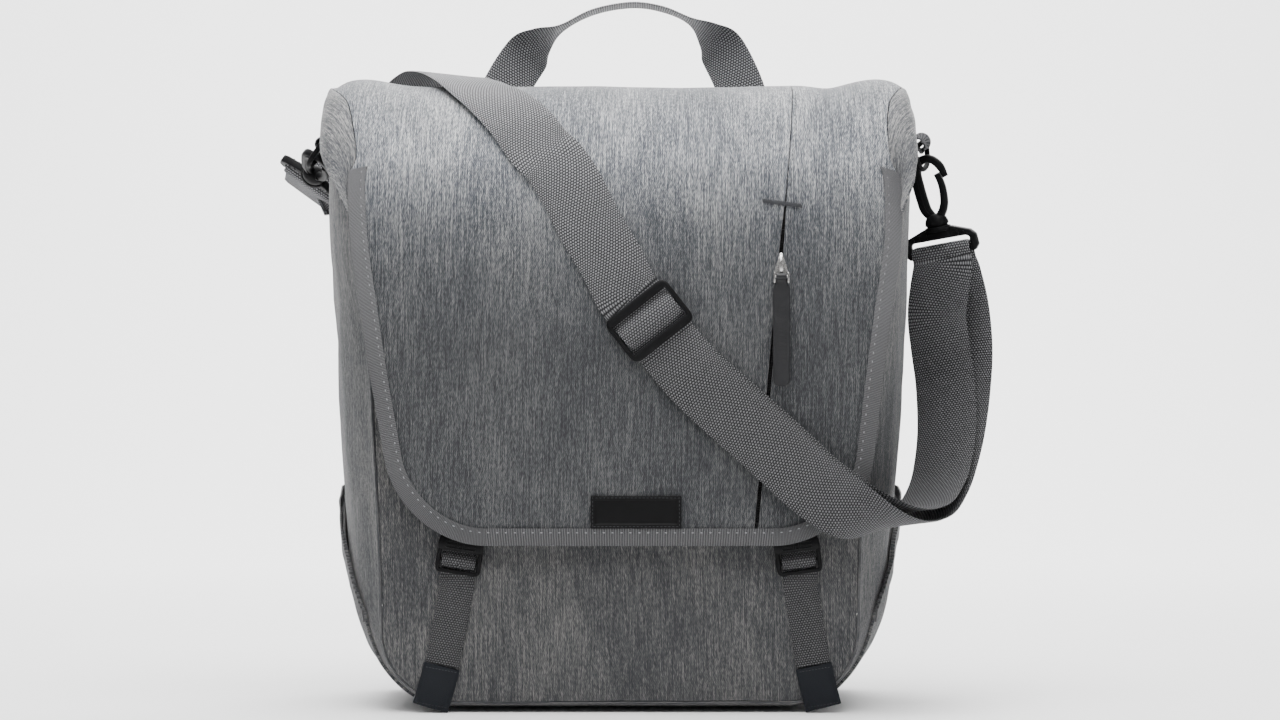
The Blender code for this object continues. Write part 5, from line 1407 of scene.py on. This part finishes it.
def makeHooks():
    for name, side in (("left", -1), ("right", 1)):
        across, along, facing = frameOf(side)
        origin = baseMiddle(side)

        def place(a, b, out=0.0, across=across, along=along, facing=facing, origin=origin):
            return origin + across * a * mm + along * b * mm + facing * out * mm

        spine = [(-0.5, 19.5), (-3.0, 23.0), (-5.2, 27.0), (-6.1, 33.0), (-6.8, 42.0), (-6.9, 50.0),
                 (-4.6, 55.6), (0.9, 58.0), (5.4, 56.6), (9.4, 52.0), (11.7, 45.0)]
        fine = [smooth(spine, step / 6) for step in range(6 * (len(spine) - 1) + 1)]
        rod = sweep("hook_spine", [place(a, b) for a, b in fine], oval(6.9 * mm, 5.4 * mm, 20, 0.55), facing,
                    scales=spineWidth)
        ridge = sweep("hook_ridge", [place(a, b, 2.5) for a, b in fine[5:40]],
                      oval(2.2 * mm, 1.2 * mm, 10, 0.6), facing)
        gate = [(2.4, 21.0), (5.6, 25.0), (7.6, 30.0), (8.3, 37.0), (7.9, 42.5), (6.5, 47.8)]
        fine = [smooth(gate, step / 6) for step in range(6 * (len(gate) - 1) + 1)]
        leaf = sweep("hook_gate", [place(a, b) for a, b in fine], oval(4.5 * mm, 4.4 * mm, 16, 0.5), facing,
                     scales=lambda s: lerp(1.15, 0.82, s))
        rings = []
        for b, radius in ((12.6, 7.6), (13.2, 8.4), (14.6, 8.4), (15.4, 8.0), (15.8, 6.6), (16.4, 6.6),
                          (16.9, 7.4), (18.6, 7.3), (20.6, 6.6), (22.4, 5.2), (23.6, 3.2)):
            rings.append([place(radius * math.cos(t), b, radius * 0.86 * math.sin(t))
                          for t in [math.tau * step / 24 for step in range(24)]])
        collar = loft("hook_collar", rings)
        turn = Matrix((across, along, facing)).transposed()
        deselect()
        bpy.ops.mesh.primitive_cylinder_add(vertices=18, radius=1.25 * mm, depth=6.4 * mm)
        pin = named("hook_rivet")
        pin.matrix_world = Matrix.Translation(place(3.8, 24.0)) @ turn.to_4x4()
        applyModifier(pin, "BEVEL", width=0.3 * mm, segments=2, limit_method="ANGLE")
        piece = join("snap_hook_plastic_" + name, [rod, ridge, leaf, collar, pin])
        settle(piece, plastic, ["snap_hook_" + name])

        half = hookLook["base"] / 2 / mm
        outline = [(2.6 - half, -2.6), (4.4 - half, -2.6), (4.6 - half, 6.4), (6.6 - half, 7.6),
                   (half - 6.6, 7.6), (half - 4.6, 6.4), (half - 4.4, -2.6), (half - 2.6, -2.6),
                   (half, 0.4), (half - 0.4, 7.4), (half - 3.4, 10.6),
                   (9.0, 14.8), (-9.0, 14.8), (3.4 - half, 10.6), (0.4 - half, 7.4), (-half, 0.4)]
        parts = [plate("base_plate", outline, 5.0 * mm, place(0, 0), turn, 0.9 * mm)]
        parts.append(block("base_boss", (15 * mm, 6.4 * mm, 6.8 * mm), place(0, 11.2), turn, 1.3 * mm, 3))
        for a, b, tall in ((-16.5, 9.3, 2.6), (-12.6, 10.0, 3.6), (12.6, 10.0, 3.6), (16.5, 9.3, 2.6)):
            parts.append(block("base_rib", (1.3 * mm, tall * mm, 6.2 * mm), place(a, b), turn, 0.45 * mm))
        deselect()
        bpy.ops.mesh.primitive_cylinder_add(vertices=20, radius=2.1 * mm, depth=hookLook["base"] - 6 * mm)
        bar = named("base_bar")
        bar.matrix_world = (Matrix.Translation(place(0, 0))
                            @ Matrix((along, facing, across)).transposed().to_4x4())
        parts.append(bar)
        piece = join("swivel_base_plastic_" + name, parts)
        settle(piece, plastic, ["swivel_base_" + name])

        steps = 40
        path = [ringPoint(side, math.pi * step / steps) for step in range(steps + 1)]
        bar = [path[-1].lerp(path[0], share) for share in (0.1, 0.3, 0.5, 0.7, 0.9)]
        plane = (path[steps // 2] - ringBar(side)).cross(tabLook["axis"][side]).normalized()
        piece = sweep("d_ring_wire_" + name, path + bar, oval(3.3 * mm, 3.3 * mm, 14), plane, closed=True)
        settle(piece, blackWire, ["d_ring_" + name])

        inner = halfWidth + gap + 0.7 * mm
        centre = halfWidth + tabLook["out"]
        height, depth, loop = tabLook["height"], tabLook["depth"][side], tabLook["loop"]
        rising = ((inner, height - 11 * mm), (inner, height - 8.4 * mm),
                  (inner + 0.6 * mm, height - 5.6 * mm), (centre - 2.2 * mm, height - 3.5 * mm))
        falling = ((inner + 2.4 * mm, height + 0.2 * mm), (inner + 1.5 * mm, height - 2.6 * mm))
        stations = [(Vector((side * x, depth, z)), Vector((0, 1, 0))) for x, z in rising]
        for degrees in range(-80, 141, 20):
            angle = math.radians(degrees)
            x, z = centre + loop * math.cos(angle), height + loop * math.sin(angle)
            stations.append((Vector((side * x, depth, z)), tabLook["axis"][side]))
        stations += [(Vector((side * x, depth, z)), Vector((0, 1, 0))) for x, z in falling]
        piece = ribbon("d_ring_tab_webbing_" + name, stations, tabLook["width"], 1.9 * mm, spans=4)
        settle(piece, tabWebbing, ["d_ring_tab_" + name], angle=60)
    print("hooks and rings made")


# Closure straps and buckles

closure = {
    "width": 20 * mm, "wall": 1.5 * mm, "buckleWidth": 27 * mm, "buckleTop": 105 * mm, "slot": 4.4 * mm,
    "bar": 1.8 * mm, "footBar": 2.4 * mm, "topBar": 10 * mm, "middleWall": 1.4 * mm, "sleeve": 28 * mm,
    "sleeveWidth": 21.5 * mm, "sleeveWall": 1.3 * mm,
}


def frontSeat(x, z, half):
    return min(frontFace(x + side * half, z) for side in (-1, 0, 1))


def makeClosures():
    slot, bar, top = closure["slot"], closure["bar"], closure["buckleTop"]
    # side, place across as a share of the half width, lean of the strap
    for name, share, lean in (("left", -0.536, -0.19), ("right", 0.598, 0.165)):
        x = share * halfWidth
        tilt = math.atan(lean * 0.8)
        seat = frontSeat(x, top, closure["width"] / 2)
        under = seat - gap - closure["wall"] / 2
        barBack = under - closure["wall"] / 2 - gap
        middleY = barBack - 1.5 * mm
        half = closure["buckleWidth"] / 2
        first = top - closure["topBar"]
        last = first - 2 * slot - bar

        # ladder buckle: a bevelled frame, a domed hood with cross ribs and two bars
        foot, head = last - 1.2 * mm, first + 2.4 * mm
        corners = [Vector((x + a * (half - 1.35 * mm), middleY, z))
                   for a, z in ((-1, foot), (1, foot), (1, head), (-1, head))]
        parts = [sweep("buckle_loop", rounded(corners, turn=2.2 * mm), oval(2.5 * mm, 3.0 * mm, 12, 0.6),
                       (0, 1, 0), closed=True)]
        hoodRows = [
            # height, width, depth, out
            (first + 0.2 * mm, 0.98, 2.4, 0.2), (first + 1.2 * mm, 1.0, 3.2, 0.5),
            (first + 3.6 * mm, 1.0, 3.8, 0.9), (first + 6.5 * mm, 0.98, 3.6, 0.7),
            (first + 8.6 * mm, 0.94, 3.0, 0.3), (top - 0.2 * mm, 0.86, 2.0, 0.0),
        ]
        hood = []
        for z, wide, deep, out in hoodRows:
            section = oval(2 * half * wide, deep * mm, 24, 0.5)
            hood.append([Vector((x + a, middleY - out * mm + b, z)) for a, b in section])
        parts.append(loft("buckle_hood", hood))
        for step in range(4):
            middle = Vector((x, middleY - 2.4 * mm, first + (2.2 + 1.9 * step) * mm))
            parts.append(block("buckle_rib", (half * 1.3, 1.0 * mm, 0.9 * mm), middle, soften=0.3 * mm))
        middle = Vector((x, barBack - 0.7 * mm, first - slot - bar / 2))
        parts.append(block("buckle_bar", (2 * half - 3 * mm, 1.3 * mm, bar), middle, soften=0.4 * mm))
        for a in (-1.6, 1.6):
            middle = Vector((x + a * mm, middleY - 2.6 * mm, first + 4.6 * mm))
            parts.append(block("buckle_finger", (1.1 * mm, 1.3 * mm, 6.0 * mm), middle, soften=0.4 * mm))
        piece = join("buckle_plastic_" + name, parts)
        pivot = Vector((x, middleY, first - slot))
        leaning = Matrix.Rotation(-tilt, 4, "Y")
        piece.matrix_world = Matrix.Translation(pivot) @ leaning @ Matrix.Translation(-pivot)
        settle(piece, plastic, ["buckle_" + name])

        over = barBack - closure["middleWall"] - gap - closure["wall"] / 2
        drop = [
            (top + 1 * mm, under), (first + 1.5 * mm, under), (first - 0.15 * slot, lerp(under, over, 0.10)),
            (first - 0.60 * slot, lerp(under, over, 0.62)), (first - slot, lerp(under, over, 0.96)),
            (first - slot - bar / 2, over), (first - slot - bar, lerp(under, over, 0.96)),
            (last + 0.40 * slot, lerp(under, over, 0.62)), (last + 0.15 * slot, lerp(under, over, 0.10)),
            (last - closure["footBar"], under),
        ]
        turned = Vector((math.cos(tilt), 0.0, math.sin(tilt)))
        stations = []
        for z, y in drop:
            below = first - slot - z
            middle = Vector((x + below * math.sin(tilt), y, first - slot - below * math.cos(tilt)))
            stations.append((middle, turned))
        way = Vector((1.0, 0.0, lean)).normalized()
        start = drop[-1][0]
        for part in (0.15, 0.4, 0.7, 1.0):
            z = lerp(start, closure["sleeve"] + gap, part)
            sx = x + lean * (start - z)
            wave = 0.5 * mm * math.sin(part * 5 + share * 4) * part
            y = frontSeat(sx, z, closure["width"] / 2) - gap - closure["wall"] / 2 - abs(wave)
            stations.append((Vector((sx, y, z)), way))
        piece = ribbon("closure_webbing_" + name, stations, closure["width"], closure["wall"], spans=6)
        settle(piece, narrowWebbing, ["closure_strap_" + name], angle=60)

        # the folded sleeve on the strap's end, with stitched edges
        fold = []
        for part in (0.0, 0.3, 0.65, 1.0):
            z = lerp(closure["sleeve"] - gap, 3.0 * mm, part)
            sx = x + lean * (start - z) * lerp(1.0, 1.15, part)
            y = frontSeat(sx, z, closure["sleeveWidth"] / 2) - gap - closure["sleeveWall"]
            fold.append((Vector((sx, y, z)), way))
        piece = ribbon("sleeve_cloth_" + name, fold, closure["sleeveWidth"], 2 * closure["sleeveWall"])
        settle(piece, navySleeve, ["strap_end_" + name], angle=60)
        face = [station[0] + Vector((0, -closure["sleeveWall"] * 1.02, 0)) for station in fold]
        for edge, part in (("top", 0.09), ("low", 0.93)):
            index = part * 3
            middle = face[int(index)].lerp(face[min(int(index) + 1, 3)], index - int(index))
            path = [middle + way * a * 9.4 * mm for a in (-1, -0.5, 0, 0.5, 1)]
            stitches("sleeve_stitches_%s_%s" % (name, edge), path, [Vector((0, -1, 0))] * 5, darkThread,
                     pitch=1.9 * mm, length=1.4 * mm, size=0.4 * mm)
    print("closures made")


# The handle

handle = {"width": 30 * mm, "wall": 1.5 * mm}
handleRoute = [
    # x, y, height (mm), across x, across y, across z
    (-90, 0.0, 316, 1.0, 0.0, -0.12), (-87, 0.0, 336, 0.99, 0.0, -0.16),
    (-83, 0.2, 356, 0.96, 0.0, -0.28), (-74, 0.8, 380, 0.86, 0.0, -0.51),
    (-61, 1.5, 401, 0.74, 0.25, -0.60), (-51, 1.5, 411.5, 0.35, 0.85, -0.40),
    (-38, 1.0, 419.5, 0.05, 1.0, -0.02), (-18, 0.0, 429.5, 0.0, 1.0, 0.0), (6, 0.0, 434, 0.0, 1.0, 0.0),
    (26, 0.0, 431.5, 0.0, 1.0, 0.0), (44, 1.0, 424, -0.05, 1.0, -0.02),
    (56, 1.5, 415, -0.35, 0.85, -0.40), (65, 1.5, 404, -0.78, 0.25, -0.55),
    (76, 0.8, 381, -0.88, 0.0, -0.47), (83, 0.2, 356, -0.96, 0.0, -0.28),
    (87, 0.0, 336, -0.99, 0.0, -0.16), (90, 0.0, 316, -1.0, 0.0, -0.12),
]


def makeHandle():
    back = flapBackY + 0.8 * mm + gap + handle["wall"] / 2
    stations = []
    for x, y, z, ax, ay, az in handleRoute:
        stations.append((Vector((x * mm, back + y * mm, z * mm)), Vector((ax, ay, az))))
    piece = ribbon("handle_webbing", stations, handle["width"], handle["wall"])
    settle(piece, webbing, ["handle"], angle=60)
    for name, side in (("left", -1), ("right", 1)):
        path = []
        for a, z in ((-11, 319), (11, 319), (11, 339), (-11, 339), (-11, 319), (11, 339)):
            path.append(Vector((side * 88.5 * mm + a * mm, back + handle["wall"] / 2 + 0.1 * mm, z * mm)))
        stitches("handle_stitches_" + name, path, [Vector((0, 1, 0))] * 6, darkThread, pitch=2.8 * mm,
                 length=2.0 * mm, size=0.5 * mm)
    print("handle made")


# Rack hooks on the back

def makeRackHooks():
    for name in ("left", "right"):
        low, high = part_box("rack_hook_" + name)
        x = (low.x + high.x) / 2
        back, out, top = low.y, high.y, high.z
        profile = [(back + 2 * mm, top - 48 * mm), (back + 2 * mm, top - 2.2 * mm),
                   (out - 2 * mm, top - 2.2 * mm), (out - 2 * mm, top - 30 * mm)]
        path = rounded([Vector((x, y, z)) for y, z in profile], closed=False, turn=5 * mm, steps=8)
        arm = sweep("rack_hook_arm", path, oval(4.0 * mm, 23.6 * mm, 20, 0.35), (1, 0, 0))
        parts = [arm]
        for a in (-7, 0, 7):
            rib = [p + Vector((a * mm, 0, 0)) for p in path[3:]]
            parts.append(sweep("rack_hook_rib", rib, oval(5.0 * mm, 1.2 * mm, 10, 0.6), (1, 0, 0)))
        for z in (top - 42 * mm, top - 24 * mm):
            deselect()
            middle = (x, back + 4.4 * mm, z)
            bpy.ops.mesh.primitive_cylinder_add(vertices=24, radius=3.0 * mm, depth=1.8 * mm, location=middle,
                                                rotation=(math.pi / 2, 0, 0))
            screw = named("rack_hook_screw")
            applyModifier(screw, "BEVEL", width=0.6 * mm, segments=3, limit_method="ANGLE")
            parts.append(screw)
        piece = join("rack_hook_plastic_" + name, parts)
        settle(piece, plastic, ["rack_hook_" + name])
    print("rack hooks made")


makeBody()
makePockets()
makeFlap()
makeZip()
makeLabel()
makeShoulderStrap()
makeStrapSlider()
makeHooks()
makeClosures()
makeHandle()
makeRackHooks()


# Stage, lights and camera

stage = {
    "floor": (0.93, 0.93, 0.93), "wallAt": 2.2, "wallHigh": 4, "bend": 1.0, "world": 0.20,
    "eye": (12 * mm, -1.87, 208 * mm), "sensor": 36, "lens": 85.8,
}
lights = [
    # name, place, target, size (m), power (W)
    ("key", (-0.1, -0.6, 0.8), (0, -0.05, 0.33), (0.9, 0.35), 5.5),
    ("fill", (1.6, -1.3, 0.8), (0, 0, 0.2), (1.2, 1.4), 2),
    ("top", (0.0, -0.14, 1.15), (0, 0, 0.2), (1.0, 0.6), 24),
    ("back", (0.3, 1.5, 1.4), (0, 0, 0.25), (1.4, 1.0), 8),
    ("wall", (0.0, 1.3, 2.3), (0, 3.0, 0.4), (3.0, 0.6), 190),
]


def makeStage():
    deselect()
    bpy.ops.mesh.primitive_plane_add(size=1, location=(0, 0, 0))
    floor = named("pale_floor")
    floor.scale = (24, 7, 1)
    bpy.ops.object.transform_apply(location=True, rotation=True, scale=True)
    for vertex in floor.data.vertices:
        vertex.co.y = stage["wallAt"] if vertex.co.y > 0 else -20.0
    bpy.ops.object.mode_set(mode="EDIT")
    bpy.ops.mesh.select_all(action="DESELECT")
    bpy.ops.object.mode_set(mode="OBJECT")
    for edge in floor.data.edges:
        edge.select = all(floor.data.vertices[i].co.y > stage["wallAt"] - 0.1 for i in edge.vertices)
    bpy.ops.object.mode_set(mode="EDIT")
    bpy.ops.mesh.select_mode(type="EDGE")
    bpy.ops.mesh.extrude_region_move(TRANSFORM_OT_translate={"value": (0, 0, stage["wallHigh"])})
    bpy.ops.object.mode_set(mode="OBJECT")
    applyModifier(floor, "BEVEL", width=stage["bend"], segments=14, limit_method="ANGLE")
    pick(floor)
    bpy.ops.object.shade_smooth()
    paper = Finish("pale_paper", stage["floor"], 0.9)
    floor.data.materials.append(paper.material)


def makeLight(name, place, target, size, power):
    bpy.ops.object.light_add(type="AREA", location=place)
    light = bpy.context.object
    light.name = name
    light.data.shape = "RECTANGLE"
    light.data.size, light.data.size_y = size
    light.data.energy = power
    light.rotation_euler = (Vector(target) - Vector(place)).to_track_quat("-Z", "Y").to_euler()


def makeView():
    deselect()
    for light in lights:
        makeLight(*light)
    world = bpy.context.scene.world or bpy.data.worlds.new("studio")
    bpy.context.scene.world = world
    world.use_nodes = True
    world.node_tree.nodes["Background"].inputs["Color"].default_value = (1, 1, 1, 1)
    world.node_tree.nodes["Background"].inputs["Strength"].default_value = stage["world"]
    bpy.ops.object.camera_add(location=stage["eye"], rotation=(math.pi / 2, 0, 0))
    camera = bpy.context.object
    camera.data.sensor_width = stage["sensor"]
    camera.data.lens = stage["lens"]
    bpy.context.scene.camera = camera


makeStage()
makeView()
print("stage and view made")
